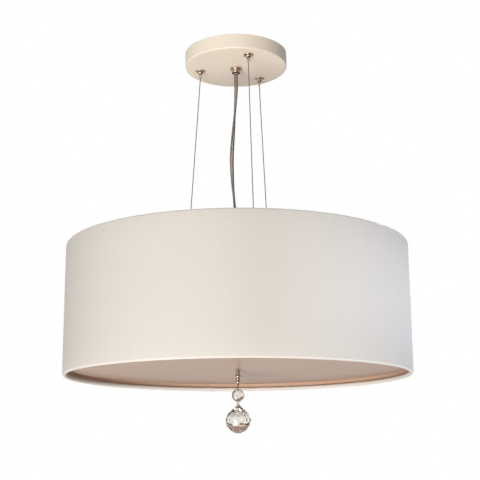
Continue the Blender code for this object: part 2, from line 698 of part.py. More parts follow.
def gripper_outline():
    """The gripper's body: a flange with a tapered boss below the canopy, and a hollow shank above it."""
    flange_top = CANOPY_FACE - GAP
    flange_under = flange_top - GRIPPER_FLANGE_HEIGHT
    ledge = CANOPY_FACE + GRIPPER_LEDGE
    shank_top = -GRIPPER_SHANK_TOP
    return [
        (GRIPPER_BORE, BOSS_UNDER),
        (GRIPPER_BORE + GRIPPER_BOSS_WALL, BOSS_UNDER),
        (GRIPPER_BOSS_RADIUS, flange_under),
        (GRIPPER_FLANGE_RADIUS - GRIPPER_EDGE, flange_under),
        (GRIPPER_FLANGE_RADIUS, flange_under + GRIPPER_EDGE),
        (GRIPPER_FLANGE_RADIUS, flange_top),
        (GRIPPER_SHANK_RADIUS, flange_top),
        (GRIPPER_SHANK_RADIUS, shank_top),
        (CABLE_BORE, shank_top),
        (CABLE_BORE, CHAMBER_TOP),
        (GRIPPER_CHAMBER_RADIUS, CHAMBER_TOP),
        (GRIPPER_CHAMBER_RADIUS, ledge),
        (GRIPPER_BORE, ledge),
    ]


def plunger_outline():
    """The release plunger: a collar inside, and a shaft out through the boss, narrower at its tip."""
    return [
        (CABLE_BORE, PLUNGER_TIP),
        (PLUNGER_TIP_RADIUS, PLUNGER_TIP),
        (PLUNGER_RADIUS, PLUNGER_TIP + PLUNGER_TAPER),
        (PLUNGER_RADIUS, COLLAR_UNDER),
        (GRIPPER_CHAMBER_RADIUS - GAP, COLLAR_UNDER),
        (GRIPPER_CHAMBER_RADIUS - GAP, COLLAR_TOP),
        (CABLE_BORE, COLLAR_TOP),
    ]


def make_grippers(surfaces):
    """Three cable grippers: body, locknut, sprung plunger and spring."""
    nickel = surfaces["nickel"]
    for number, angle in enumerate(CABLE_ANGLES, start=1):
        spot = turn_about(angle) @ shifted(GRIPPER_CIRCLE, 0, 0)
        origin = spot.translation
        turned(f"gripper_body_{number}", gripper_outline(), SMALL_SIDES, nickel, spot, origin)
        turned(f"gripper_plunger_{number}", plunger_outline(), SMALL_SIDES, nickel, spot, origin)
        seat = spot @ shifted(0, 0, CANOPY_FLOOR + GAP)
        nut = f"gripper_nut_{number}"
        make_nut(nut, GRIPPER_NUT_RADIUS, GRIPPER_SHANK_RADIUS, GRIPPER_NUT_HEIGHT, nickel, seat)
        make_spring(f"gripper_spring_{number}", spot, surfaces["spring_steel"])


def make_spring(name, spot, material):
    """A coil between the plunger's collar and the chamber's roof."""
    low = COLLAR_TOP + GAP + SPRING_WIRE_RADIUS
    high = CHAMBER_TOP - GAP - SPRING_WIRE_RADIUS
    count = SPRING_TURNS * SPRING_POINTS_PER_TURN
    points = []
    for i in range(count + 1):
        angle = math.tau * i / SPRING_POINTS_PER_TURN
        x, y = SPRING_RADIUS * math.cos(angle), SPRING_RADIUS * math.sin(angle)
        points.append(spot @ Vector((x, y, low + (high - low) * i / count)))
    tube(name, points, SPRING_WIRE_RADIUS, SPRING_WIRE_SIDES, material)


def make_cables(surfaces):
    """Three steel cables, straight inside their grippers and slanting outwards below them."""
    stop_top = ARM_UNDER - GAP
    stop_under = stop_top - STOP_HEIGHT
    for number, angle in enumerate(CABLE_ANGLES, start=1):
        turn = turn_about(angle)
        route = [
            (GRIPPER_CIRCLE, CABLE_STICKOUT - GRIPPER_SHANK_TOP),
            (GRIPPER_CIRCLE, PLUNGER_TIP),
            (ARM_CIRCLE, ARM_TOP),
            (ARM_CIRCLE, stop_under + STOP_CAP + GAP),
        ]
        points = [turn @ Vector((r, 0, z)) for r, z in route]
        tube(f"suspension_cable_{number}", points, CABLE_RADIUS, CABLE_SIDES, surfaces["cable_steel"])
        outline = [
            (0, stop_under),
            (STOP_RADIUS, stop_under),
            (STOP_RADIUS, stop_top),
            (CABLE_BORE, stop_top),
            (CABLE_BORE, stop_under + STOP_CAP),
            (0, stop_under + STOP_CAP),
        ]
        spot = turn @ shifted(ARM_CIRCLE, 0, 0)
        turned(f"cable_stop_{number}", outline, SMALL_SIDES, surfaces["nickel"], spot)


def make_shade(surfaces):
    """Fabric drum folded over a wire ring at each end, with a stiff lining between the rings."""
    outer, inner = FOLD_RADIUS, FOLD_RADIUS - FABRIC
    top_steps = round(TOP_FOLD_TURN / FOLD_STEP)
    hem_steps = round(HEM_FOLD_TURN / FOLD_STEP)
    outline = (
        arc(RING_CIRCLE, BOTTOM_RING_Z, outer, -HEM_FOLD_TURN, 0, hem_steps)
        + arc(RING_CIRCLE, TOP_RING_Z, outer, 0, TOP_FOLD_TURN, top_steps)
        + arc(RING_CIRCLE, TOP_RING_Z, inner, TOP_FOLD_TURN, 0, top_steps)
        + arc(RING_CIRCLE, BOTTOM_RING_Z, inner, 0, -HEM_FOLD_TURN, hem_steps)
    )
    turned("shade_cover", outline, SHADE_SIDES, surfaces["fabric"])
    lining_low = BOTTOM_RING_Z + FOLD_RADIUS + GAP
    lining_high = TOP_RING_Z - RING_WIRE_RADIUS - GAP
    outline = [
        (LINING_OUTER - LINING, lining_low),
        (LINING_OUTER, lining_low),
        (LINING_OUTER, lining_high),
        (LINING_OUTER - LINING, lining_high),
    ]
    turned("shade_lining", outline, SHADE_SIDES, surfaces["lining"])
    turned("bottom_ring", ring_section(BOTTOM_RING_Z), SHADE_SIDES, surfaces["zinc"])


def ring_section(height):
    return arc(RING_CIRCLE, height, RING_WIRE_RADIUS, 0, math.tau, RING_SIDES)[:-1]


def make_spider(surfaces):
    """The welded frame: top ring, three joggled arms and a round hub."""
    end_top = TOP_RING_Z - GAP
    end_reach = LINING_OUTER - LINING - ARM_END_EASE
    upper = [
        (ARM_INNER, ARM_TOP),
        (ARM_BEND, ARM_TOP),
        (ARM_RISE_END, end_top),
        (end_reach, end_top),
    ]
    outline = upper + [(r, z - ARM_THICKNESS) for r, z in reversed(upper)]
    spider = turned("spider_frame", ring_section(TOP_RING_Z), SHADE_SIDES, surfaces["zinc"])
    arms = bmesh.new()
    for angle in CABLE_ANGLES:
        add_extruded(arms, outline, ARM_WIDTH / 2, turn_about(angle))
    carve(spider, arms, "UNION")
    hub = bmesh.new()
    bore = PIPE_RADIUS + HOLE_EASE
    add_pipe(hub, HUB_RADIUS, bore, HUB_THICKNESS, CANOPY_SIDES // 2, shifted(0, 0, HUB_UNDER))
    carve(spider, hub, "UNION")
    holes = bmesh.new()
    for angle in CABLE_ANGLES:
        spot = turn_about(angle) @ shifted(ARM_CIRCLE, 0, ARM_UNDER - OVERRUN)
        add_rod(holes, CABLE_RADIUS + HOLE_EASE, ARM_THICKNESS + 2 * OVERRUN, SMALL_SIDES, spot)
    carve(spider, holes)


def make_pipe(surfaces):
    """The hollow threaded pipe, its four nuts, the cord's bush and tail, and the rod coupler."""
    bm = bmesh.new()
    length = PIPE_TOP - PIPE_BOTTOM
    add_pipe(bm, PIPE_RADIUS, PIPE_BORE_RADIUS, length, FITTING_SIDES, shifted(0, 0, PIPE_BOTTOM))
    pipe = place("hub_pipe", bm, surfaces["zinc"])
    window = bmesh.new()
    spot = radial(LAMP_ANGLES[0], 0, LAMP_Z)
    add_rod(window, CORD_RADIUS + HOLE_EASE, PIPE_RADIUS + OVERRUN, SMALL_SIDES, spot)
    carve(pipe, window)
    seats = (
        ("hub_upper_nut", HUB_TOP + GAP),
        ("hub_lower_nut", HUB_UNDER - GAP - PIPE_NUT_HEIGHT),
        ("cluster_nut", CLUSTER_TOP + GAP),
        ("lid_nut", LID_NUT_UNDER),
    )
    for name, height in seats:
        seat = shifted(0, 0, height)
        make_nut(name, PIPE_NUT_RADIUS, PIPE_RADIUS, PIPE_NUT_HEIGHT, surfaces["zinc"], seat)
    bore = PIPE_RADIUS + HOLE_EASE
    cord_bore = CORD_RADIUS + HOLE_EASE
    outline = [
        (bore, BUSH_UNDER),
        (BUSH_RADIUS, BUSH_UNDER),
        (BUSH_RADIUS, BUSH_TOP - BUSH_CHAMFER),
        (BUSH_RADIUS - BUSH_CHAMFER, BUSH_TOP),
        (cord_bore, BUSH_TOP),
        (cord_bore, PIPE_TOP + GAP),
        (bore, PIPE_TOP + GAP),
    ]
    turned("cord_bush", outline, FITTING_SIDES, surfaces["white_plastic"])
    tail = [(0, 0, BUSH_TOP), (0, 0, (BUSH_TOP + LAMP_Z) / 2), (0, 0, LAMP_Z)]
    tube("cord_tail", tail, CORD_RADIUS, CORD_SIDES, surfaces["clear_cord"])
    rod_bore = ROD_RADIUS + HOLE_EASE
    web_top = PIPE_BOTTOM - GAP
    outline = [
        (0, web_top),
        (bore, web_top),
        (bore, COUPLER_TOP),
        (COUPLER_RADIUS, COUPLER_TOP),
        (COUPLER_RADIUS, COUPLER_BOTTOM),
        (rod_bore, COUPLER_BOTTOM),
        (rod_bore, web_top - COUPLER_WEB),
        (0, web_top - COUPLER_WEB),
    ]
    turned("rod_coupler", outline, FITTING_SIDES, surfaces["zinc"])


def make_cluster(surfaces):
    """The six-sided can between the lampholders, open below, and its lid."""
    half_side = math.pi / CLUSTER_SIDES
    corner, inner, bore = (
        flat / math.cos(half_side)
        for flat in (CLUSTER_FLAT, CLUSTER_FLAT - CLUSTER_WALL, PIPE_RADIUS + HOLE_EASE)
    )
    roof = CLUSTER_TOP - CLUSTER_WALL
    facing = turn_about(LAMP_ANGLES[0] + half_side)
    outline = [
        (bore, CLUSTER_TOP),
        (corner, CLUSTER_TOP),
        (corner, CLUSTER_OPEN),
        (inner, CLUSTER_OPEN),
        (inner, roof),
        (bore, roof),
    ]
    can = turned("cluster_body", outline, CLUSTER_SIDES, surfaces["powder_coat"], facing)
    holes = bmesh.new()
    for angle in LAMP_ANGLES:
        spot = radial(angle, CLUSTER_FLAT - CLUSTER_WALL - OVERRUN, LAMP_Z)
        add_rod(holes, WIRE_HOLE_RADIUS, CLUSTER_WALL + 2 * OVERRUN, SMALL_SIDES, spot)
    carve(can, holes)
    outline = [(bore, LID_UNDER), (corner, LID_UNDER), (corner, LID_TOP), (bore, LID_TOP)]
    turned("cluster_lid", outline, CLUSTER_SIDES, surfaces["powder_coat"], facing)


def make_lampholders(surfaces):
    """Three lampholders and the lamps screwed into them."""
    bore = CAP_RADIUS + GAP
    outer = bore + HOLDER_WALL
    holder = [
        (CONTACT_HOLE_RADIUS, 0),
        (HOLDER_NECK_RADIUS, 0),
        (HOLDER_NECK_RADIUS, HOLDER_NECK_LENGTH),
        (outer, HOLDER_NECK_LENGTH),
        (outer, HOLDER_LENGTH),
        (bore, HOLDER_LENGTH),
        (bore, HOLDER_FLOOR),
        (CONTACT_HOLE_RADIUS, HOLDER_FLOOR),
    ]
    for number, angle in enumerate(LAMP_ANGLES, start=1):
        spot = radial(angle, HOLDER_BACK, LAMP_Z)
        origin = spot.translation
        turned(f"lampholder_{number}", holder, LAMP_SIDES, surfaces["porcelain"], spot, origin)
        turned(f"lamp_cap_{number}", cap_outline(), LAMP_SIDES, surfaces["brass"], spot, origin)
        turned(f"lamp_glass_{number}", glass_outline(), LAMP_SIDES, surfaces["lamp_glass"], spot, origin)


def cap_outline():
    """The lamp's screw cap: a contact tip and a thin cup that holds the glass's neck."""
    tip = HOLDER_FLOOR + GAP
    shoulder = tip + CAP_TIP_HEIGHT
    rim = tip + CAP_LENGTH
    floor = shoulder + CAP_WALL
    return [
        (0, tip),
        (CAP_TIP_RADIUS, tip),
        (CAP_RADIUS, shoulder),
        (CAP_RADIUS, rim),
        (CAP_RADIUS - CAP_WALL, rim),
        (CAP_RADIUS - CAP_WALL, floor),
        (0, floor),
    ]


def glass_outline():
    """The lamp's envelope: a thin neck that starts at the cap and swells into a globe."""
    neck_start = HOLDER_FLOOR + GAP + CAP_LENGTH + GAP
    tip = HOLDER_FLOOR + GAP + LAMP_LENGTH
    centre = tip - GLOBE_RADIUS
    neck_end = max(HOLDER_LENGTH, neck_start)
    outside, inside = (
        [(NECK_RADIUS - wall, neck_start), (NECK_RADIUS - wall, neck_end)]
        + globe_arc(centre, GLOBE_RADIUS - wall)
        for wall in (0, GLASS_WALL)
    )
    return list(reversed(inside)) + outside


def globe_arc(centre, radius):
    """The globe's outline, from where it leaves the neck's cone round to the tip."""
    angles = [GLOBE_TURN * (1 - i / GLOBE_STEPS) for i in range(GLOBE_STEPS)]
    points = [(radius * math.sin(a), centre + radius * math.cos(a)) for a in angles]
    return points + [(0, centre + radius)]


def make_diffuser(surfaces):
    """The frosted disc, the pad above it, the washer below it, and the rod that it hangs on."""
    reach = RING_CIRCLE - FOLD_RADIUS - DIFFUSER_EASE
    outline = [
        (DIFFUSER_HOLE_RADIUS, DIFFUSER_UNDER),
        (reach, DIFFUSER_UNDER),
        (reach, DIFFUSER_TOP),
        (DIFFUSER_HOLE_RADIUS, DIFFUSER_TOP),
    ]
    turned("diffuser", outline, SHADE_SIDES, surfaces["acrylic"])
    bore = STUD_RADIUS + HOLE_EASE
    bm = bmesh.new()
    add_pipe(bm, PAD_RADIUS, bore, PAD_THICKNESS, FITTING_SIDES, shifted(0, 0, DIFFUSER_TOP + GAP))
    place("diffuser_pad", bm, surfaces["silicone"])
    bm = bmesh.new()
    washer_under = DIFFUSER_UNDER - GAP - WASHER_THICKNESS
    add_pipe(bm, WASHER_RADIUS, bore, WASHER_THICKNESS, FITTING_SIDES, shifted(0, 0, washer_under))
    place("finial_washer", bm, surfaces["silicone"])
    stud_end = FINIAL_TOP - STUD_REACH
    outline = [
        (0, ROD_TOP),
        (ROD_RADIUS, ROD_TOP),
        (ROD_RADIUS, ROD_SHOULDER),
        (STUD_RADIUS, ROD_SHOULDER),
        (STUD_RADIUS, stud_end),
        (0, stud_end),
    ]
    turned("finial_rod", outline, SMALL_SIDES, surfaces["zinc"])


def bead_bulge(depth, height, radius, base):
    """Points of a rounded bead on the finial, from its upper edge to its lower edge."""
    points = []
    for i in range(BEAD_STEPS + 1):
        angle = math.pi * i / BEAD_STEPS
        swell = math.sin(angle)
        points.append((base + (radius - base) * swell, FINIAL_TOP - depth + height / 2 * math.cos(angle)))
    return points


def make_finial(surfaces):
    """The turned finial with a blind bore for the stud and a flat eye at its foot."""
    bore = STUD_RADIUS + HOLE_EASE
    floor = FINIAL_TOP - STUD_REACH - STUD_CLEARANCE
    taper_start = FINIAL_BOTTOM + EYE_RADIUS + FINIAL_TAPER
    foot = FINIAL_BOTTOM + EYE_RADIUS
    outline = (
        [(0, floor), (bore, floor), (bore, FINIAL_TOP), (FINIAL_RADIUS, FINIAL_TOP)]
        + bead_bulge(FINIAL_BEAD_DEPTH, FINIAL_BEAD_HEIGHT, FINIAL_BEAD_RADIUS, FINIAL_RADIUS)
        + bead_bulge(FINIAL_RING_DEPTH, FINIAL_RING_HEIGHT, FINIAL_RING_RADIUS, FINIAL_RADIUS)
        + [(FINIAL_RADIUS, taper_start), (FINIAL_TIP_RADIUS, foot), (0, foot)]
    )
    finial = turned("finial", outline, FITTING_SIDES, surfaces["nickel"], origin=Vector((0, 0, FINIAL_TOP)))
    eye = bmesh.new()
    across = crosswise(EYE_Z)
    add_rod(eye, EYE_RADIUS, EYE_THICKNESS, FITTING_SIDES, across @ shifted(0, 0, -EYE_THICKNESS / 2))
    carve(finial, eye, "UNION")
    hole = bmesh.new()
    reach = EYE_THICKNESS + 2 * OVERRUN
    add_rod(hole, EYE_HOLE_RADIUS, reach, SMALL_SIDES, across @ shifted(0, 0, -reach / 2))
    carve(finial, hole)


def link_points(top, bottom, half_width):
    """A rounded rectangle of wire in the upright plane through the strand's hole direction."""
    turn = turn_about(STRAND_TURN)
    corners = (
        (half_width - LINK_CORNER, top - LINK_CORNER, 0),
        (-half_width + LINK_CORNER, top - LINK_CORNER, 1),
        (-half_width + LINK_CORNER, bottom + LINK_CORNER, 2),
        (half_width - LINK_CORNER, bottom + LINK_CORNER, 3),
    )
    points = []
    for across, height, quarter in corners:
        for i in range(LINK_CORNER_STEPS + 1):
            angle = math.pi / 2 * (quarter + i / LINK_CORNER_STEPS)
            y = across + LINK_CORNER * math.cos(angle)
            z = height + LINK_CORNER * math.sin(angle)
            points.append(turn @ Vector((0, y, z)))
    return points


def make_strand(surfaces):
    """Wire link, octagon bead, wire link and faceted ball."""
    upper_pivot = Vector((0, 0, FINIAL_LINK_TOP))
    lower_pivot = Vector((0, 0, BALL_LINK_TOP))
    for name, top, bottom, half_width, pivot in (
        ("finial_link", FINIAL_LINK_TOP, FINIAL_LINK_BOTTOM, FINIAL_LINK_HALF_WIDTH, upper_pivot),
        ("ball_link", BALL_LINK_TOP, BALL_LINK_BOTTOM, BALL_LINK_HALF_WIDTH, lower_pivot),
    ):
        points = link_points(top, bottom, half_width)
        tube(name, points, LINK_WIRE_RADIUS, LINK_SIDES, surfaces["nickel"], True, pivot)
    make_crystal_bead(surfaces["crystal"])
    make_crystal_ball(surfaces["crystal"])


def make_crystal_bead(material):
    half_turn = math.pi / CRYSTAL_BEAD_SIDES
    rim = CRYSTAL_BEAD_FLAT / math.cos(half_turn)
    table = CRYSTAL_BEAD_TABLE / math.cos(half_turn)
    outline = [
        (0, -CRYSTAL_BEAD_HALF),
        (table, -CRYSTAL_BEAD_HALF),
        (rim, -CRYSTAL_BEAD_EDGE),
        (rim, CRYSTAL_BEAD_EDGE),
        (table, CRYSTAL_BEAD_HALF),
        (0, CRYSTAL_BEAD_HALF),
    ]
    placing = crosswise(BEAD_CENTRE) @ turn_about(half_turn)
    bead = turned("crystal_bead", outline, CRYSTAL_BEAD_SIDES, material, placing)
    holes = bmesh.new()
    reach = 2 * (CRYSTAL_BEAD_HALF + OVERRUN)
    for height in (BEAD_UPPER_HOLE, BEAD_LOWER_HOLE):
        add_rod(holes, CRYSTAL_HOLE_RADIUS, reach, SMALL_SIDES, crosswise(height) @ shifted(0, 0, -reach / 2))
    carve(bead, holes)


def make_crystal_ball(material):
    """Rows of corners, each row turned half a step from the last, joined by flat facets."""
    bm = bmesh.new()
    rows = []
    for index, (height, radius) in enumerate(zip(BALL_HEIGHT_SHARES, BALL_RADIUS_SHARES)):
        row = []
        for i in range(CRYSTAL_BALL_SIDES):
            angle = math.tau * (i + (0.5 if index % 2 == 0 else 0)) / CRYSTAL_BALL_SIDES
            reach = radius * CRYSTAL_BALL_RADIUS
            row.append(
                bm.verts.new(
                    (
                        reach * math.cos(angle),
                        reach * math.sin(angle),
                        BALL_CENTRE + height * CRYSTAL_BALL_RADIUS,
                    )
                )
            )
        rows.append(row)
    for index, (upper, lower) in enumerate(zip(rows, rows[1:])):
        lead = 1 if index % 2 == 0 else 0
        for i in range(CRYSTAL_BALL_SIDES):
            j = (i + 1) % CRYSTAL_BALL_SIDES
            if lead:
                bm.faces.new((upper[i], lower[j], lower[i]))
                bm.faces.new((upper[i], upper[j], lower[j]))
            else:
                bm.faces.new((upper[i], upper[j], lower[i]))
                bm.faces.new((upper[j], lower[j], lower[i]))
    bm.faces.new(rows[0])
    bm.faces.new(rows[-1])
    ball = place("crystal_ball", bm, material)
    hole = bmesh.new()
    reach = CRYSTAL_BALL_RADIUS
    add_rod(hole, CRYSTAL_HOLE_RADIUS, reach, SMALL_SIDES, crosswise(BALL_HOLE) @ shifted(0, 0, -reach / 2))
    carve(ball, hole)


def make_cord(surfaces):
    """The slack cord between the canopy's strain relief and the bush over the shade's hub."""
    points = smooth_route(CORD_ROUTE, CORD_STEP)
    tube("power_cord", points, CORD_RADIUS, CORD_SIDES, surfaces["clear_cord"])


def main():
    clear_scene()
    surfaces = make_surfaces()
    make_mounting_plate(surfaces)
    make_canopy(surfaces)
    make_canopy_screws(surfaces)
    make_wiring(surfaces)
    make_gland(surfaces)
    make_grippers(surfaces)
    make_cables(surfaces)
    make_cord(surfaces)
    make_shade(surfaces)
    make_spider(surfaces)
    make_pipe(surfaces)
    make_cluster(surfaces)
    make_lampholders(surfaces)
    make_diffuser(surfaces)
    make_finial(surfaces)
    make_strand(surfaces)


main()
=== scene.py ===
import json
import math

import bpy
from bpy.props import FloatProperty, FloatVectorProperty, IntProperty, PointerProperty
from bpy.types import Operator, Panel, PropertyGroup
from mathutils import Matrix, Vector

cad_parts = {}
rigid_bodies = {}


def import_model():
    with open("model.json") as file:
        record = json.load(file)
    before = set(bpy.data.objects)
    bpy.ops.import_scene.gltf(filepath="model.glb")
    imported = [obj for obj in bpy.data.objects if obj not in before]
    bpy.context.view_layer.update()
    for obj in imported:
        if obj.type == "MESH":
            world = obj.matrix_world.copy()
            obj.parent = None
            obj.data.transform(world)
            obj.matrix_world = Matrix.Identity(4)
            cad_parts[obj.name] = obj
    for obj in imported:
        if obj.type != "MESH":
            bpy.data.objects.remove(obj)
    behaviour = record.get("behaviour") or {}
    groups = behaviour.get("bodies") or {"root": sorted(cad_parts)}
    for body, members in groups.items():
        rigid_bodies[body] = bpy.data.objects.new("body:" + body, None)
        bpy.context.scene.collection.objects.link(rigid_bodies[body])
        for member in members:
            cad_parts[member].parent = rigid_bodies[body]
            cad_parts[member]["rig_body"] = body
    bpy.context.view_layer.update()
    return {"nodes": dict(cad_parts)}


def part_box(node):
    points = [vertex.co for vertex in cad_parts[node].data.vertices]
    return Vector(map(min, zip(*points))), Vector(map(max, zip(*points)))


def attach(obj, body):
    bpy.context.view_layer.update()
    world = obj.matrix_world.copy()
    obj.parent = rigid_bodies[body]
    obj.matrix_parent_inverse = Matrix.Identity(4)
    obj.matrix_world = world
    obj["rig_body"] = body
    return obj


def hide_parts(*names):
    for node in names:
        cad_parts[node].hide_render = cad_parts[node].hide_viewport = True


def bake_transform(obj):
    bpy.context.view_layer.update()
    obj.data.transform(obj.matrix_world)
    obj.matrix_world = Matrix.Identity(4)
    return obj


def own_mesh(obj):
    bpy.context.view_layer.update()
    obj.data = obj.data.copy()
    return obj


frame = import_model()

bl_info = {
    "name": "Crystal Pendant Light",
    "version": (1, 0, 0),
    "blender": (4, 5, 0),
    "location": "3D View > Sidebar > Pendant",
    "description": "Dresses the drum pendant with its canopy, cables, fabric drum, diffuser and crystals",
    "category": "Object",
}

MM = 0.001

# Places that several pieces share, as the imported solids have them
CABLE_TURNS = tuple(math.radians(a) for a in (-72.5, 47.5, 167.5))
LAMP_TURNS = tuple(math.radians(a) for a in (-12.5, 107.5, 227.5))
SIDE_SCREW_TURNS = tuple(math.radians(a) for a in (10, 170))
GRIPPER_CIRCLE = 45 * MM
STOP_CIRCLE = 61 * MM
LAMP_CIRCLE = 30.3 * MM
LAMP_HEIGHT = -315.5 * MM
RING_CIRCLE = 197.6 * MM
RING_WIRE = 1.6 * MM
TOP_RING_HEIGHT = -250.4 * MM
HEM_RING_HEIGHT = -395.6 * MM
ARM_HEIGHT = -263 * MM
STRAND_TURN = math.radians(12)
SEAM_TURN = math.radians(97)
GAP = 0.3 * MM  # clearance between pieces that fit together
CUT = 6 * MM  # length of the cutters for holes through thin walls

# The slack cord's route from the strain relief to the bush over the shade's hub
CORD_ROUTE = (
    (0.0, 0.0, -0.0248),
    (0.0, 0.0, -0.034),
    (-0.0001, 0.0, -0.0485),
    (-0.0020, 0.0, -0.0805),
    (-0.0048, 0.0, -0.1170),
    (-0.0057, 0.0, -0.1380),
    (-0.0047, 0.0, -0.1680),
    (-0.0025, 0.0, -0.1940),
    (-0.0006, 0.0, -0.2200),
    (0.0, 0.0, -0.2380),
    (0.0, 0.0, -0.2497),
)


# Making shapes


def clear_choice():
    """Leave edit mode and select nothing."""
    if bpy.context.mode != "OBJECT":
        bpy.ops.object.mode_set(mode="OBJECT")
    bpy.ops.object.select_all(action="DESELECT")


def choose(piece):
    """Select one object and nothing else, in object mode."""
    clear_choice()
    piece.select_set(True)
    bpy.context.view_layer.objects.active = piece


def call_it(piece, name):
    piece.name = name
    piece.data.name = name
    return piece


def in_mm(points, base=0.0):
    """An outline written in millimetres, lifted to a height in metres."""
    return [(radius * MM, base + height * MM) for radius, height in points]


def arc(centre_radius, centre_height, radius, start, end, steps):
    """Points of an arc in an outline. Angles are in degrees, from outwards towards up."""
    turns = [math.radians(start + (end - start) * i / steps) for i in range(steps + 1)]
    return [(centre_radius + radius * math.cos(a), centre_height + radius * math.sin(a)) for a in turns]


def drawn(name, outline):
    """Draw an outline of (radius, height) points corner by corner, and stay in edit mode."""
    clear_choice()
    bpy.ops.mesh.primitive_plane_add(size=MM)
    piece = call_it(bpy.context.object, name)
    bpy.ops.object.mode_set(mode="EDIT")
    bpy.ops.mesh.select_all(action="SELECT")
    bpy.ops.mesh.merge(type="CENTER")
    bpy.ops.transform.translate(value=(outline[0][0], 0, outline[0][1]))
    for before, after in zip(outline, outline[1:]):
        move = (after[0] - before[0], 0, after[1] - before[1])
        bpy.ops.mesh.extrude_vertices_move(TRANSFORM_OT_translate={"value": move})
    bpy.ops.mesh.select_all(action="SELECT")
    return piece


def turned(name, outline, sides, smooth=35, sheet=False):
    """Spin an outline round the upright axis. Off the axis it is closed, unless it is a sheet."""
    if outline[0][0] and not sheet:
        outline = outline + outline[:1]
    piece = drawn(name, outline)
    bpy.ops.mesh.spin(steps=sides, angle=math.tau, center=(0, 0, 0), axis=(0, 0, 1))
    weld(smooth)
    return piece


def weld(smooth):
    """Merge doubled points, turn the faces outwards, and smooth all but the crisp edges."""
    bpy.ops.mesh.select_all(action="SELECT")
    bpy.ops.mesh.remove_doubles(threshold=0.001 * MM)
    bpy.ops.mesh.normals_make_consistent(inside=False)
    bpy.ops.object.mode_set(mode="OBJECT")
    bpy.ops.object.shade_smooth_by_angle(angle=math.radians(smooth))


def rounded(piece, width):
    """Break the sharp edges, as a deburred or moulded piece has them."""
    sharp = math.radians(40)
    choose(piece)
    bpy.ops.object.modifier_add(type="BEVEL")
    bevel = piece.modifiers[-1]
    bevel.width = width
    bevel.segments = 2
    bevel.limit_method = "ANGLE"
    bevel.angle_limit = sharp
    bpy.ops.object.modifier_apply(modifier=bevel.name)
    bpy.ops.object.shade_smooth_by_angle(angle=sharp)
    return piece


def set_down(piece, matrix):
    """Put a finished piece in its place and keep the place in its mesh."""
    choose(piece)
    piece.matrix_world = matrix
    bpy.ops.object.transform_apply(location=True, rotation=True, scale=True)
    return piece


def in_places(first, stem, places):
    """Put a finished piece in the first place, and copies with meshes of their own in the others."""
    pieces = [first]
    for _ in places[1:]:
        choose(first)
        bpy.ops.object.duplicate(linked=False)
        pieces.append(bpy.context.object)
    for number, (piece, place) in enumerate(zip(pieces, places), start=1):
        set_down(call_it(piece, f"{stem}_{number}"), place)
    return pieces


def turn(angle):
    return Matrix.Rotation(angle, 4, "Z")


def shift(x, y, z):
    return Matrix.Translation((x, y, z))


def outward(angle, distance, height):
    """A frame whose Z axis points out from the light's axis."""
    return turn(angle) @ shift(distance, 0, height) @ Matrix.Rotation(math.pi / 2, 4, "Y")


def crosswise(height):
    """A frame on the light's axis whose Z axis runs through the strand's holes."""
    return turn(STRAND_TURN) @ shift(0, 0, height) @ Matrix.Rotation(math.pi / 2, 4, "X")


def block(name, size, matrix=Matrix()):
    clear_choice()
    bpy.ops.mesh.primitive_cube_add(size=1)
    return set_down(call_it(bpy.context.object, name), matrix @ Matrix.Diagonal((*size, 1)))


def rod(name, radius, length, sides, matrix=Matrix()):
    """A plain cutter or pin along the Z axis of a frame, centred on it."""
    clear_choice()
    bpy.ops.mesh.primitive_cylinder_add(vertices=sides, radius=radius, depth=length)
    return set_down(call_it(bpy.context.object, name), matrix)


def carve(piece, tools, operation="DIFFERENCE"):
    """Cut a piece with tools, or join them on to it. The tools are thrown away."""
    for tool in tools:
        choose(piece)
        bpy.ops.object.modifier_add(type="BOOLEAN")
        cut = piece.modifiers[-1]
        cut.operation = operation
        cut.solver = "EXACT"
        cut.object = tool
        bpy.ops.object.modifier_apply(modifier=cut.name)
        choose(tool)
        bpy.ops.object.delete()
    choose(piece)
    bpy.ops.object.shade_smooth_by_angle(angle=math.radians(35))
    return piece


def remade(node, name, edge):
    """A merged copy of a solid, with its flat faces whole again and its sharp edges broken."""
    piece = bpy.data.objects.new(name, frame["nodes"][node].data.copy())
    bpy.context.scene.collection.objects.link(piece)
    choose(call_it(piece, name))
    bpy.ops.object.mode_set(mode="EDIT")
    weld(35)
    bpy.ops.object.mode_set(mode="EDIT")
    bpy.ops.mesh.select_all(action="SELECT")
    bpy.ops.mesh.dissolve_limited(angle_limit=math.radians(1))
    bpy.ops.object.mode_set(mode="OBJECT")
    return rounded(piece, edge)


def nut(node, name, corner, bore, angle=0.0):
    """A six-sided nut with chamfered corners, in the place of a packed one."""
    low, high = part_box(node)
    height, middle = high.z - low.z, (low + high) / 2
    flat = corner * math.cos(math.pi / 6)
    slope = (corner - flat) * math.tan(math.pi / 6)
    rim = [(0, -height / 2), (flat * 0.97, -height / 2), (corner * 1.01, slope - height / 2)]
    piece = rod(name, corner, height, 6, turn(angle + math.pi / 6))
    carve(piece, [turned("cutter", rim + [(r, -z) for r, z in reversed(rim)], 48)], "INTERSECT")
    carve(piece, [rod("cutter", bore, 2 * height, 32)])
    return set_down(piece, shift(*middle))


def spread(route, step):
    """Points at an even step along a smooth curve through a route's own points."""
    knots = [Vector(p) for p in route]
    knots = [2 * knots[0] - knots[1]] + knots + [2 * knots[-1] - knots[-2]]
    fine = []
    for before, start, end, after in zip(knots, knots[1:], knots[2:], knots[3:]):
        linear = end - before
        square = 2 * before - 5 * start + 4 * end - after
        cube = 3 * start - before - 3 * end + after
        parts = max(2, math.ceil((end - start).length / step) * 4)
        for i in range(parts):
            t = i / parts
            fine.append(0.5 * (2 * start + linear * t + square * t**2 + cube * t**3))
    fine.append(knots[-2])
    return even(fine, step)


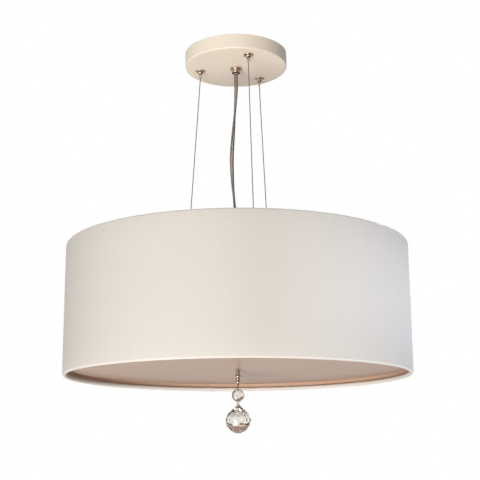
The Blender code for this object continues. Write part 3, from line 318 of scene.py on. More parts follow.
def even(fine, step):
    """The same line, cut into steps of even length."""
    total = sum((b - a).length for a, b in zip(fine, fine[1:]))
    count = max(2, round(total / step))
    points, walked = [fine[0]], 0.0
    for a, b in zip(fine, fine[1:]):
        length = (b - a).length
        while len(points) < count and walked + length >= total * len(points) / count:
            points.append(a.lerp(b, (total * len(points) / count - walked) / length))
        walked += length
    return points + [fine[-1]]


def laid(name, points, section, lay_length=0.0, loop=False):
    """Sweep a closed section of (x, y) points along a line, twisting it once in each lay length."""
    count, last = len(section), len(points)
    faces, corners, marks, walked = [], [], [], 0.0
    for i, point in enumerate(points):
        before = points[i - 1] if i or loop else point
        after = points[(i + 1) % last] if i < last - 1 or loop else point
        tangent = (after - before).normalized()
        side = Vector((1, 0, 0)) if abs(tangent.x) < 0.9 else Vector((0, 1, 0))
        if loop:
            side = Vector((math.cos(STRAND_TURN), math.sin(STRAND_TURN), 0))
        across = (side - side.dot(tangent) * tangent).normalized()
        along = tangent.cross(across)
        walked += (point - points[i - 1]).length if i else 0.0
        marks.append(walked)
        twist = math.tau * walked / lay_length if lay_length else 0.0
        for x, y in section:
            u = x * math.cos(twist) - y * math.sin(twist)
            v = x * math.sin(twist) + y * math.cos(twist)
            corners.append(point + across * u + along * v)
    for i in range(last if loop else last - 1):
        for k in range(count):
            j, n = (k + 1) % count, (i + 1) % last
            faces.append((i * count + k, i * count + j, n * count + j, n * count + k))
    if not loop:
        faces.append(tuple(reversed(range(count))))
        faces.append(tuple((last - 1) * count + k for k in range(count)))
    mesh = bpy.data.meshes.new(name)
    mesh.from_pydata(corners, [], faces)
    wrap = mesh.uv_layers.new(name="UVMap")
    girth = sum(math.dist(section[k], section[(k + 1) % count]) for k in range(count))
    for face in mesh.polygons:
        if len(face.vertices) == 4:
            ring, k = divmod(face.vertices[0], count)
            follow = marks[ring + 1] if ring + 1 < last else walked + (points[0] - points[-1]).length
            spots = ((k, marks[ring]), (k + 1, marks[ring]), (k + 1, follow), (k, follow))
            for loop_index, (around, far) in zip(face.loop_indices, spots):
                wrap.data[loop_index].uv = (girth * around / count, far)
    piece = bpy.data.objects.new(name, mesh)
    bpy.context.scene.collection.objects.link(piece)
    choose(piece)
    bpy.ops.object.mode_set(mode="EDIT")
    weld(50)
    return piece


def circle(radius, count, centre=(0.0, 0.0)):
    turns = [math.tau * i / count for i in range(count)]
    return [(centre[0] + radius * math.cos(a), centre[1] + radius * math.sin(a)) for a in turns]


def wrap_round(piece, radius):
    """A UV map in metres for cloth that runs round the upright axis: u round it, v along its height."""
    mesh = piece.data
    wrap = mesh.uv_layers.get("UVMap") or mesh.uv_layers.new(name="UVMap")
    for face in mesh.polygons:
        turns = [math.atan2(mesh.vertices[v].co.y, mesh.vertices[v].co.x) for v in face.vertices]
        for loop_index, vertex, angle in zip(face.loop_indices, face.vertices, turns):
            if angle - max(turns) < -math.pi:
                angle += math.tau
            wrap.data[loop_index].uv = (angle * radius, mesh.vertices[vertex].co.z)


def wire_ring(name, height):
    """A welded ring of round steel wire."""
    clear_choice()
    bpy.ops.mesh.primitive_torus_add(
        major_radius=RING_CIRCLE, minor_radius=RING_WIRE, major_segments=192, minor_segments=12
    )
    return set_down(call_it(bpy.context.object, name), shift(0, 0, height))


def settle(piece, material, body, slot, *nodes):
    """Give a piece its finish and the body it moves with, and hide the solids it stands for. The slot is
    not used.
    """
    piece.data.materials.clear()
    piece.data.materials.append(material)
    if body:
        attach(piece, body)
    if nodes:
        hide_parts(*nodes)
    return piece


def settle_copies(first, stem, places, material, body, slot, node):
    """Put copies of a piece in their places, each settled as the numbered solid it stands for."""
    for number, piece in enumerate(in_places(first, stem, places), start=1):
        settle(piece, material, body.format(number), slot, f"{node}_{number}")


# Finishes


def tint(code):
    """An sRGB hex colour as the linear colour that a shader takes."""
    parts = [int(code[i : i + 2], 16) / 255 for i in (1, 3, 5)]
    return tuple(c / 12.92 if c <= 0.04045 else ((c + 0.055) / 1.055) ** 2.4 for c in parts)


def add_node(tree, kind, inputs=None, **settings):
    """Add one shader node. An input that is another node's output is linked, other values are set."""
    made = tree.nodes.new("ShaderNode" + kind)
    for key, value in settings.items():
        setattr(made, key, value)
    for key, value in (inputs or {}).items():
        if isinstance(value, bpy.types.NodeSocket):
            tree.links.new(value, made.inputs[key])
        else:
            made.inputs[key].default_value = value
    return made


def begin(name, colour, roughness, metallic=0.0, **more):
    """A new material, with the values that are the same all over set on the shader itself."""
    known = bpy.data.materials.get(name)
    if known:
        return known, None, None
    material = bpy.data.materials.new(name)
    material.use_nodes = True
    tree = material.node_tree
    shader = tree.nodes["Principled BSDF"]
    shader.inputs["Base Color"].default_value = (*colour, 1)
    shader.inputs["Roughness"].default_value = roughness
    shader.inputs["Metallic"].default_value = metallic
    for key, value in more.items():
        shader.inputs[key.replace("_", " ")].default_value = value
    material.diffuse_color = (*colour, 1)
    return material, tree, shader


def clouds(tree, size, detail, wrapped=False, stretch=None, lean=0.0, **more):
    """A soft pattern about as wide as a size in metres, in the solid or over its wrapped surface."""
    if wrapped:
        place = add_node(tree, "UVMap", uv_map="UVMap").outputs[0]
    else:
        place = add_node(tree, "TexCoord").outputs["Object"]
    if stretch:
        laid_out = {"Vector": place, "Rotation": (0, 0, lean), "Scale": stretch}
        place = add_node(tree, "Mapping", laid_out).outputs[0]
    inputs = {"Vector": place, "Scale": 1 / size, "Detail": detail, **more}
    return add_node(tree, "TexNoise", inputs).outputs[0]


def work_in(tree, shader, pattern, tones=None, gloss=None, depth=None):
    """Let a pattern from 0 to 1 tone the colour, spread the roughness, or lift the surface."""
    if tones:
        share = add_node(tree, "MapRange", {"Value": pattern, "To Min": tones[0], "To Max": tones[1]})
        parts = {0: shader.inputs["Base Color"].default_value[:3], 1: share.outputs[0]}
        toned = add_node(tree, "VectorMath", parts, operation="MULTIPLY")
        tree.links.new(toned.outputs[0], shader.inputs["Base Color"])
    if gloss:
        share = add_node(tree, "MapRange", {"Value": pattern, "To Min": gloss[0], "To Max": gloss[1]})
        tree.links.new(share.outputs[0], shader.inputs["Roughness"])
    if depth:
        bump = add_node(tree, "Bump", {"Height": pattern, "Distance": depth, "Strength": 1.0})
        tree.links.new(bump.outputs["Normal"], shader.inputs["Normal"])


def powder_coat(finishes):
    # Baked polyester powder on steel: satin, with the faint orange peel of powder that has flowed.
    material, tree, shader = begin("cream_powder_coat", finishes.coat_colour, 0.45)
    if tree:
        work_in(tree, shader, clouds(tree, 25 * MM, 3.0), tones=(0.975, 1.02))
        work_in(tree, shader, clouds(tree, 1.4 * MM, 2.0), depth=0.02 * MM)
    return material


def polished_nickel(finishes):
    # Nickel plate on turned brass: a warm mirror, with fine turning marks that blur it a little.
    material, tree, shader = begin("polished_nickel", finishes.nickel_colour, 0.1, 1.0)
    if tree:
        marks = clouds(tree, 0.25 * MM, 3.0, stretch=(0.15, 0.15, 1.0))
        work_in(tree, shader, marks, gloss=(0.05, 0.15), depth=0.003 * MM)
    return material


def zinc_plate():
    # Bright zinc plate on mild steel: pale grey, clouded where the bath was uneven.
    material, tree, shader = begin("bright_zinc_plate", tint("#B9BCBF"), 0.36, 1.0)
    if tree:
        work_in(tree, shader, clouds(tree, 9 * MM, 4.0), tones=(0.86, 1.06), gloss=(0.26, 0.46))
    return material


def plain_finish(name, code, roughness, metallic=0.0, grain=6 * MM, tones=(0.95, 1.03), **more):
    """A finish for a small piece: one colour with soft clouds at the size of its grain."""
    material, tree, shader = begin(name, tint(code), roughness, metallic, **more)
    if tree:
        work_in(tree, shader, clouds(tree, grain, 3.0), tones)
    return material


def cable_steel():
    # Stainless wire rope: each wire is bright, with grey drawing soap in the grooves.
    material, tree, shader = begin("stainless_wire_rope", tint("#8A8178"), 0.26, 1.0)
    if tree:
        work_in(tree, shader, clouds(tree, 0.8 * MM, 2.0, wrapped=True), tones=(0.6, 1.3))
    return material


def clear_vinyl(finishes):
    # Extruded clear vinyl jacket: slightly smoky, and glossy as it leaves the die.
    colour = finishes.vinyl_colour
    material, tree, shader = begin("clear_vinyl", colour, 0.12, IOR=1.53, Transmission_Weight=0.92)
    if tree:
        work_in(tree, shader, clouds(tree, 3 * MM, 2.0, wrapped=True), depth=0.05 * MM)
    return material


def tinned_wire():
    # Bunched tinned copper seen through the jacket. The bright and dark tones of its streaked pattern are
    # painted glints, wire by wire; the bump is real.
    # Real wires are 0.2 mm across, and are drawn at 0.9 mm so that their glints show.
    material, tree, shader = begin("tinned_copper_bunch", tint("#A3988F"), 0.28, 1.0)
    if tree:
        lean = math.radians(38)
        wires = clouds(tree, 0.9 * MM, 1.0, wrapped=True, stretch=(1.0, 0.35, 1.0), lean=lean)
        work_in(tree, shader, wires, tones=(0.45, 1.35), depth=0.15 * MM)
    return material


def cotton(finishes):
    # Plain woven cotton laminated to its backing: matt, with faint slubs where a thread is thicker.
    # The real threads are 0.4 mm apart, and are drawn wider apart so that the weave shows.
    colour = finishes.cotton_colour
    material, tree, shader = begin("off_white_cotton", colour, 0.9, Sheen_Weight=0.1, Sheen_Roughness=0.5)
    if tree:
        thread = {
            "Vector": add_node(tree, "UVMap", uv_map="UVMap").outputs[0],
            "Scale": math.tau / 20 / finishes.thread_spacing,  # how a wave texture counts its bands
            "Distortion": 1.5,
            "Detail": 1.0,
            "Detail Scale": 0.4,
        }
        warp, weft = (
            add_node(tree, "TexWave", thread, wave_type="BANDS", bands_direction=way).outputs["Fac"]
            for way in ("X", "Y")
        )
        woven = add_node(tree, "Math", {0: warp, 1: weft}, operation="ADD").outputs[0]
        slubs = clouds(tree, 1.8 * MM, 2.0, wrapped=True, stretch=(1.0, 0.04, 1.0), Roughness=0.6)
        flecks = add_node(tree, "Math", {0: woven, 1: 0.25, 2: slubs}, operation="MULTIPLY_ADD")
        work_in(tree, shader, flecks.outputs[0], tones=(0.965, 1.015))
        work_in(tree, shader, woven, depth=0.03 * MM)
    return material


def styrene(finishes):
    # Calendered styrene sheet behind the cotton: smooth. Its dark warm colour is painted shade and painted
    # warm light for the drum's inner wall.
    material, tree, shader = begin("styrene_painted_shade", finishes.lining_colour, 0.5)
    if tree:
        work_in(tree, shader, clouds(tree, 18 * MM, 3.0), tones=(0.94, 1.05))
    return material


def frosted_acrylic(finishes):
    # Cast acrylic, frosted, with a satin face below. Its grey-beige is painted shade: darker than the
    # white disc, for the unlit drum behind it.
    colour = finishes.acrylic_colour
    material, tree, shader = begin("frosted_acrylic", colour, 0.4, IOR=1.49, Specular_IOR_Level=0.2)
    if tree:
        work_in(tree, shader, clouds(tree, 60 * MM, 3.0), tones=(0.95, 1.04))
        work_in(tree, shader, clouds(tree, 1.2 * MM, 2.0), gloss=(0.35, 0.45))
    return material


def porcelain():
    # Glazed electrical porcelain: milk white under a clear glaze.
    return plain_finish("glazed_porcelain", "#EFECE4", 0.12, grain=14 * MM, Coat_Weight=0.5)


def green_steel():
    # Steel dyed green, the colour that marks an earth screw.
    return plain_finish("green_dyed_steel", "#2E7D46", 0.35, 0.6)


def brass():
    # Rolled brass: yellow, brushed by the rolls that form its thread.
    return plain_finish("rolled_brass", "#D3B468", 0.26, 1.0, grain=3 * MM, tones=(0.85, 1.08))


def opal_glass():
    # Blown glass, coated white inside: milky, with a polished skin.
    tones = (0.985, 1.01)
    return plain_finish("opal_glass", "#F3F1EC", 0.1, grain=30 * MM, tones=tones, Coat_Weight=0.6)


def silicone():
    # Moulded translucent silicone: hazy and soft.
    return plain_finish("translucent_silicone", "#CDBFB3", 0.45, grain=2 * MM, Transmission_Weight=0.4)


def black_rubber():
    # Moulded rubber, black and dull: a clamping insert whose black is painted shade, so that the mouth it
    # fills reads as a dark hollow.
    return plain_finish("black_rubber", "#1B1816", 0.6, grain=1 * MM)


def moulded_nylon():
    # Moulded nylon: warm white, with the dull skin that a mould leaves.
    return plain_finish("moulded_nylon", "#ECEAE2", 0.4)


def spring_wire():
    # Hard-drawn spring wire: bright grey, drawn lengthways.
    return plain_finish("bright_spring_wire", "#A9A9AA", 0.28, 1.0, grain=1 * MM)


def link_wire():
    # Drawn wire with a thin nickel plate: darker and browner than the turned pieces.
    return plain_finish("plated_link_wire", "#8A7565", 0.22, 1.0, grain=1 * MM)


def cut_crystal(finishes):
    # Lead crystal, cut and polished, with strong bending of light at each facet. Its faint grey tint is
    # painted shade that darkens the bead and ball.
    colour = finishes.crystal_colour
    material, tree, shader = begin("cut_crystal", colour, 0.0, IOR=1.56, Transmission_Weight=1.0)
    if tree:
        work_in(tree, shader, clouds(tree, 2 * MM, 1.0), gloss=(0.0, 0.02))
    return material


# Settings


def colour_setting(name, description, code):
    return FloatVectorProperty(
        name=name, description=description, subtype="COLOR", default=tint(code), min=0, max=1
    )


def length_setting(name, description, default, low, high):
    """A length that is given in millimetres and kept in metres."""
    default, low, high = default * MM, low * MM, high * MM
    return FloatProperty(
        name=name, description=description, default=default, min=low, max=high, unit="LENGTH", precision=5
    )


def power_setting(name, description, default):
    return FloatProperty(
        name=name, description=description, default=default, min=0, max=500, unit="POWER"
    )


class PendantFinishes(PropertyGroup):
    coat_colour: colour_setting("Canopy coat", "Powder coat of the canopy", "#F7EDE0")
    nickel_colour: colour_setting("Nickel", "Plating of the fittings and the finial", "#B9A899")
    cotton_colour: colour_setting("Cotton", "Cloth of the drum", "#D8D5D1")
    # The lining's dark warm colour is painted shade and painted warm light.
    lining_colour: colour_setting("Lining", "Backing inside the drum", "#C6A48D")
    # The diffuser's grey-beige is painted shade, darker than the white frosted disc.
    acrylic_colour: colour_setting("Diffuser", "Frosted disc under the lamps", "#B09787")
    vinyl_colour: colour_setting("Cord jacket", "Clear jacket of the cord", "#DDD2C8")
    # The crystal's faint grey tint is painted shade.
    crystal_colour: colour_setting("Crystal", "Glass of the bead and the ball", "#E9E3DC")
    thread_spacing: length_setting("Thread spacing", "Distance between drawn threads", 1.2, 0.3, 5)


class PendantSizes(PropertyGroup):
    drum_sides: IntProperty(
        name="Drum sides", description="Flats round the drum", default=192, min=48, max=384
    )
    cable_radius: length_setting("Cable radius", "Half the steel cable's thickness", 0.6, 0.3, 1.2)
    cable_lay: length_setting("Cable lay", "Length in which its wires go round once", 8, 4, 20)
    cord_half_width: length_setting("Cord half width", "Half the flat cord's width", 2.5, 1.5, 4)
    cord_half_depth: length_setting("Cord half depth", "Half its thickness", 1.35, 0.8, 3)
    cord_twist: length_setting("Cord twist", "Length in which it turns once", 210, 40, 900)
    overlap: length_setting("Cloth overlap", "Width of the drum's glued seam", 13, 6, 25)


class PendantStage(PropertyGroup):
    floor_depth: length_setting("Floor depth", "From the ceiling down to the floor", 2400, 600, 5000)
    key_power: power_setting("Key light", "Window light from the front left, below the shade", 70)
    fill_power: power_setting("Fill light", "Gridded strip from the right, level with the shade", 0.85)
    overhead_power: power_setting("Overhead light", "Soft light on what faces up", 34)
    room_light: FloatProperty(
        name="Room light", description="Even light from all round", default=0.17, min=0, max=2
    )
    focal_length: FloatProperty(
        name="Focal length", description="Camera lens", default=77.2, min=20, max=200, unit="CAMERA"
    )


# Pieces


class PENDANT_OT_canopy(Operator):
    """Round canopy pan with its side screws"""

    bl_idname = "pendant.canopy"
    bl_label = "Canopy"

    def execute(self, context):
        coat = powder_coat(context.scene.pendant_finishes)
        low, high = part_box("canopy_cover")
        radius, face = high.x, low.z
        wall, corner, bore, lip = 1 * MM, 1.6 * MM, 5.3 * MM, 0.2 * MM
        outline = (
            [(radius - wall, 0), (radius - lip, 0), (radius, -lip)]
            + arc(radius - corner, face + corner, corner, 0, -90, 8)
            + [(bore, face), (bore, face + wall)]
            + arc(radius - corner, face + corner, corner - wall, -90, 0, 4)
        )
        pan = turned("canopy_pan", outline, 128)
        stem, length, height, inset = 2 * MM, 6 * MM, -8 * MM, 3.2 * MM  # of the side screws
        gripper_hole, socket, socket_depth = 4.3 * MM, 1.1 * MM, 1.5 * MM
        places = [turn(a) @ shift(GRIPPER_CIRCLE, 0, face) for a in CABLE_TURNS]
        holes = [rod("cutter", gripper_hole, CUT, 32, place) for place in places]
        places = [outward(a, radius, height) for a in SIDE_SCREW_TURNS]
        holes += [rod("cutter", stem + GAP, CUT, 32, place) for place in places]
        settle(carve(pan, holes), coat, "ceiling", "powder_coat", "canopy_cover")
        screw = rounded(rod("side_screw", stem, length, 32), 0.25 * MM)
        carve(screw, [rod("cutter", socket, 2 * socket_depth, 6, shift(0, 0, length / 2))])
        places = [outward(a, radius - inset, height) for a in SIDE_SCREW_TURNS]
        settle_copies(screw, "side_screw", places, coat, "ceiling", "powder_coat", "canopy_screw")
        return {"FINISHED"}


class PENDANT_OT_ceiling_plate(Operator):
    """Steel plate against the ceiling, with the earth screw, the terminal block and the locknuts"""

    bl_idname = "pendant.ceiling_plate"
    bl_label = "Ceiling plate"

    # Millimetres above the screw's lower end
    EARTH = ((0, 0), (2.6, 0), (3.4, 0.3), (3.9, 1.0), (4, 1.6), (4, 2.8), (3.8, 3), (2, 3))
    TERMINAL = ((0, 0), (1.5, 0), (1.8, 0.3), (1.8, 0.8), (0, 0.8))

    def execute(self, context):
        zinc, nickel = zinc_plate(), polished_nickel(context.scene.pendant_finishes)
        plate = remade("mounting_plate", "ceiling_plate", 0.15 * MM)
        settle(plate, zinc, "ceiling", "zinc", "mounting_plate")
        low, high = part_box("earth_screw")
        middle = (low + high) / 2
        stem, slot = 2 * MM, (7 * MM, 0.9 * MM, 2.4 * MM)
        outline = in_mm(self.EARTH, low.z) + [(stem, high.z), (0, high.z)]
        screw = turned("earth_terminal", outline, 48)
        places = [turn(a) @ shift(0, 0, low.z) for a in (0, math.pi / 2)]
        carve(screw, [block("cutter", slot, place) for place in places])
        set_down(screw, shift(middle.x, middle.y, 0))
        settle(screw, green_steel(), "ceiling", "green_steel", "earth_screw")
        terminal = remade("terminal_block", "terminal_strip", 0.4 * MM)
        settle(terminal, moulded_nylon(), "ceiling", "white_plastic", "terminal_block")
        low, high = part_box("terminal_block")
        well, pitch, head, slot = 3 * MM, 8 * MM, 0.8 * MM, (4 * MM, 0.5 * MM, 0.8 * MM)
        screw = turned("terminal_screw", in_mm(self.TERMINAL), 24)
        carve(screw, [block("cutter", slot)])
        places = [shift((low.x + high.x) / 2, pitch * i, low.z + well - head) for i in (-1, 0, 1)]
        for piece in in_places(screw, "terminal_screw", places):
            settle(piece, brass(), "ceiling", "brass")
        piece = nut("cord_gland_nut", "strain_relief_nut", corner=8.1 * MM, bore=5.15 * MM)
        settle(piece, nickel, "ceiling", "nickel", "cord_gland_nut")
        corner, bore = 6.9 * MM, 4.15 * MM
        for number, angle in enumerate(CABLE_TURNS, start=1):
            piece = nut(f"gripper_nut_{number}", f"gripper_locknut_{number}", corner, bore, angle)
            settle(piece, nickel, "ceiling", "nickel", f"gripper_nut_{number}")
        return {"FINISHED"}


class PENDANT_OT_strain_relief(Operator):
    """Strain relief in the middle of the canopy, with a clamping insert in its mouth that is black as
    painted shade
    """

    bl_idname = "pendant.strain_relief"
    bl_label = "Strain relief"

    # Millimetres from the canopy's lower face
    BODY = (
        (2.6, -3.4), (4.4, -3.4), (4.4, -5.9), (4.8, -5.9), (4.85, -6.4), (4.95, -6.5), (5.1, -6.35),
        (5.2, -6.0), (5.2, -3.5), (5.3, -3.1), (5.6, -2.8), (6.4, -2.8), (6.9, -2.6), (7.15, -2.3),
        (7.25, -1.9), (7.25, -0.5), (7.05, -0.3), (5.0, -0.3), (5.0, 5.8), (2.6, 5.8),
    )
    INSERT = (
        (2.65, -5.6), (3.1, -6.0), (4.3, -6.4), (4.75, -6.4), (4.75, -5.95), (4.35, -5.95),
        (4.35, -3.5), (2.65, -3.5),
    )

    def execute(self, context):
        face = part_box("canopy_cover")[0].z
        nickel = polished_nickel(context.scene.pendant_finishes)
        body = turned("strain_relief", in_mm(self.BODY, face), 64)
        settle(body, nickel, "ceiling", "nickel", "cord_gland")
        # The insert is black as painted shade in the strain relief's mouth.
        insert = turned("clamping_insert", in_mm(self.INSERT, face), 48)
        settle(insert, black_rubber(), "ceiling", "silicone")
        return {"FINISHED"}


class PENDANT_OT_grippers(Operator):
    """Three cable grippers, each a flanged body with a sprung release plunger"""

    bl_idname = "pendant.grippers"
    bl_label = "Cable grippers"

    # Millimetres from the canopy's lower face
    BODY = (
        (2.1, -3.85), (2.25, -4.0), (2.6, -4.0), (2.8, -3.85), (2.9, -3.2), (3.15, -2.6), (3.6, -2.1),
        (4.3, -1.8), (5.3, -1.7), (5.8, -1.6), (6.1, -1.35), (6.2, -1.05), (6.2, -0.5), (6.0, -0.3),
        (4.0, -0.3), (4.0, 12.7), (3.7, 13), (0.9, 13), (0.9, 12), (3.3, 12), (3.3, 2.2), (2.1, 2.2),
    )
    PLUNGER = (
        (0.75, -9.0), (1.05, -9.0), (1.25, -8.85), (1.6, -8.3), (1.75, -7.9), (1.8, -7.4), (1.8, -6.6),
        (1.6, -6.4), (1.6, -6.0), (1.8, -5.8), (1.8, 2.5), (3.0, 2.5), (3.0, 3.5), (0.75, 3.5),
    )

    def execute(self, context):
        nickel = polished_nickel(context.scene.pendant_finishes)
        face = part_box("canopy_cover")[0].z
        places = [turn(a) @ shift(GRIPPER_CIRCLE, 0, 0) for a in CABLE_TURNS]
        for stem, outline, body, node in (
            ("gripper", self.BODY, "ceiling", "gripper_body"),
            ("release_plunger", self.PLUNGER, "plunger_{}", "gripper_plunger"),
        ):
            first = turned(stem, in_mm(outline, face), 48)
            settle_copies(first, stem, places, nickel, body, "nickel", node)
        for number in range(1, len(places) + 1):
            self.spring(number)
        return {"FINISHED"}

    def spring(self, number):
        """An open coil over the plunger's collar, drawn at rest; the real one shortens as the plunger goes
        in.
        """
        node = f"gripper_spring_{number}"
        low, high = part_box(node)
        middle, wire, coil, turns, steps = (low + high) / 2, 0.22 * MM, 1.9 * MM, 4, 24
        rise = (high.z - low.z - 2 * wire) / (turns * steps)
        spokes = circle(coil, steps, middle.xy)
        heights = [low.z + wire + rise * i for i in range(turns * steps + 1)]
        points = [Vector((*spokes[i % steps], z)) for i, z in enumerate(heights)]
        piece = laid(f"release_spring_{number}", points, circle(wire, 10))
        settle(piece, spring_wire(), frame["nodes"][node]["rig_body"], "spring_steel", node)
        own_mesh(piece)


class PENDANT_OT_cables(Operator):
    """Three taut steel cables, each laid up from six wires, with crimped ferrules below the arms"""

    bl_idname = "pendant.cables"
    bl_label = "Suspension cables"

    # Millimetres above the ferrule's lower end: two bands where the crimping tool closed on it
    FERRULE = (
        (0, 0), (1.9, 0), (2.2, 0.3), (2.2, 1.2), (1.85, 1.6), (1.85, 2.6), (2.2, 3.0), (2.2, 4.0),
        (1.85, 4.4), (1.85, 5.4), (2.2, 5.8), (2.2, 6.7), (1.9, 7.0), (0.8, 7.0), (0.8, 1.0), (0, 1.0),
    )

    def execute(self, context):
        sizes = context.scene.pendant_sizes
        steel, nickel = cable_steel(), polished_nickel(context.scene.pendant_finishes)
        wire = sizes.cable_radius / 3
        section = []
        for lobe in range(6):
            middle = math.tau * lobe / 6
            for angle in (middle - math.pi / 3, middle, middle + math.pi / 3):
                section.append(tuple(2 * wire * f(middle) + wire * f(angle) for f in (math.cos, math.sin)))
        for number, angle in enumerate(CABLE_TURNS, start=1):
            low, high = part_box(f"suspension_cable_{number}")
            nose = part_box(f"gripper_plunger_{number}")[0].z
            upper = ((GRIPPER_CIRCLE, high.z), (GRIPPER_CIRCLE, nose))
            lower = ((STOP_CIRCLE, ARM_HEIGHT), (STOP_CIRCLE, low.z))
            line = [turn(angle) @ Vector((r, 0, z)) for r, z in upper + lower]
            cable = laid(f"steel_cable_{number}", even(line, 1 * MM), section, sizes.cable_lay)
            settle(cable, steel, None, "cable_steel", f"suspension_cable_{number}")
            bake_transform(cable)
        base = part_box("cable_stop_1")[0].z
        ferrule = turned("crimped_ferrule", in_mm(self.FERRULE, base), 32)
        places = [turn(a) @ shift(STOP_CIRCLE, 0, 0) for a in CABLE_TURNS]
        settle_copies(ferrule, "crimped_ferrule", places, nickel, "shade_frame", "nickel", "cable_stop")
        return {"FINISHED"}


class PENDANT_OT_power_cord(Operator):
    """Slack flat cord: a clear jacket over two bunched conductors, with its ends in canopy and hub"""

    bl_idname = "pendant.power_cord"
    bl_label = "Power cord"

    WIRE_SHARE = 0.58  # of the jacket's half depth, that a conductor's radius takes up

    def execute(self, context):
        points = spread(CORD_ROUTE, 1.5 * MM)
        jacket, wires = self.twin(context.scene, "clear_twin_cord", points, "power_cord")
        for piece in (jacket, *wires):
            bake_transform(piece)
        low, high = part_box("canopy_lead")
        half, bend = 2.2 * MM, 4.5 * MM
        run = high.z - half
        corner = [(x, 0, z) for x, z in arc(-bend, run - bend, bend, 0, 90, 8)]
        lead = [Vector(p) for p in [(0, 0, low.z), *corner, (low.x, 0, run)]]
        low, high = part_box("cord_tail")
        tail = [Vector((0, 0, high.z)), Vector((0, 0, low.z))]
        for name, node, body, line in (
            ("canopy_cord", "canopy_lead", "ceiling", lead),
            ("hub_cord", "cord_tail", "shade_frame", tail),
        ):
            jacket, wires = self.twin(context.scene, name, even(line, 1.5 * MM), node)
            for piece in (jacket, *wires):
                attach(piece, body)
        return {"FINISHED"}

    def twin(self, scene, name, points, node):
        """A flat jacket round two conductors that lie side by side along a line."""
        sizes = scene.pendant_sizes
        half, depth = sizes.cord_half_width, sizes.cord_half_depth
        centre = half - depth
        side = arc(centre, 0, depth, -78, 78, 10)
        jacket = laid(name, points, side + [(-x, -y) for x, y in side], sizes.cord_twist)
        settle(jacket, clear_vinyl(scene.pendant_finishes), None, "clear_cord", node)
        wires = []
        for number, offset in ((1, centre), (2, -centre)):
            section = circle(depth * self.WIRE_SHARE, 12, (offset, 0))
            wire = laid(f"{name}_wire_{number}", points[1:-1], section, sizes.cord_twist)
            wires.append(settle(wire, tinned_wire(), None, "clear_cord"))
        return jacket, wires


class PENDANT_OT_drum(Operator):
    """Cotton drum with its rolled edges and glued seam, the lining inside it and the ring in its hem"""

    bl_idname = "pendant.drum"
    bl_label = "Drum"

    def execute(self, context):
        sizes, finishes = context.scene.pendant_sizes, context.scene.pendant_finishes
        low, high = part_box("shade_cover")
        radius, bottom, top = high.x, low.z, high.z
        cloth, backing, fold, rows = 0.5 * MM, 0.4 * MM, 2.4 * MM, 8
        ring, wall_radius = radius - fold, radius - cloth / 2
        lower = arc(ring, bottom + fold, fold - cloth / 2, -245, 0, 16)
        upper = arc(ring, top - fold, fold - cloth / 2, 0, 185, 12)
        rise = (top - bottom - 2 * fold) / rows
        wall = [(wall_radius, bottom + fold + rise * i) for i in range(1, rows)]
        drum = turned("drum_cotton", lower + wall + upper, sizes.drum_sides, sheet=True)
        self.lap(drum, sizes, radius, cloth)
        choose(drum)
        bpy.ops.object.modifier_add(type="SOLIDIFY")
        skin = drum.modifiers[-1]
        skin.thickness = cloth
        skin.offset = 0
        bpy.ops.object.modifier_apply(modifier=skin.name)
        bpy.ops.object.shade_smooth_by_angle(angle=math.radians(40))
        wrap_round(drum, radius)
        settle(drum, cotton(finishes), "shade_frame", "fabric", "shade_cover")
        low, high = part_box("shade_lining")
        outer, inner = high.x, high.x - backing
        outline = [(inner, low.z), (outer, low.z), (outer, high.z), (inner, high.z)]
        lining = turned("drum_lining", outline, sizes.drum_sides)
        settle(lining, styrene(finishes), "shade_frame", "lining", "shade_lining")
        tape_size = (0.3 * MM, 14 * MM, high.z - low.z - 1 * MM)
        place = turn(SEAM_TURN) @ shift(inner - GAP, 0, (low.z + high.z) / 2)
        tape = block("lining_seam", tape_size, place)
        settle(rounded(tape, 0.1 * MM), styrene(finishes), "shade_frame", "lining")
        settle(wire_ring("hem_wire", HEM_RING_HEIGHT), zinc_plate(), "shade_frame", "zinc", "bottom_ring")
        return {"FINISHED"}

    def lap(self, drum, sizes, radius, cloth):
        """Lay the cloth's free end over its start: one crisp upright edge on each side of the seam."""
        step = math.tau / sizes.drum_sides
        start = round(SEAM_TURN / step) * step
        choose(drum)
        bpy.ops.object.mode_set(mode="EDIT")
        bpy.ops.mesh.select_mode(type="FACE")
        bpy.ops.mesh.select_all(action="DESELECT")
        bpy.ops.object.mode_set(mode="OBJECT")
        for face in drum.data.polygons:
            face.select = start < math.atan2(face.center.y, face.center.x) < start + sizes.overlap / radius
        bpy.ops.object.mode_set(mode="EDIT")
        bpy.ops.mesh.extrude_region_shrink_fatten(TRANSFORM_OT_shrink_fatten={"value": cloth})
        bpy.ops.mesh.select_mode(type="VERT")
        bpy.ops.object.mode_set(mode="OBJECT")


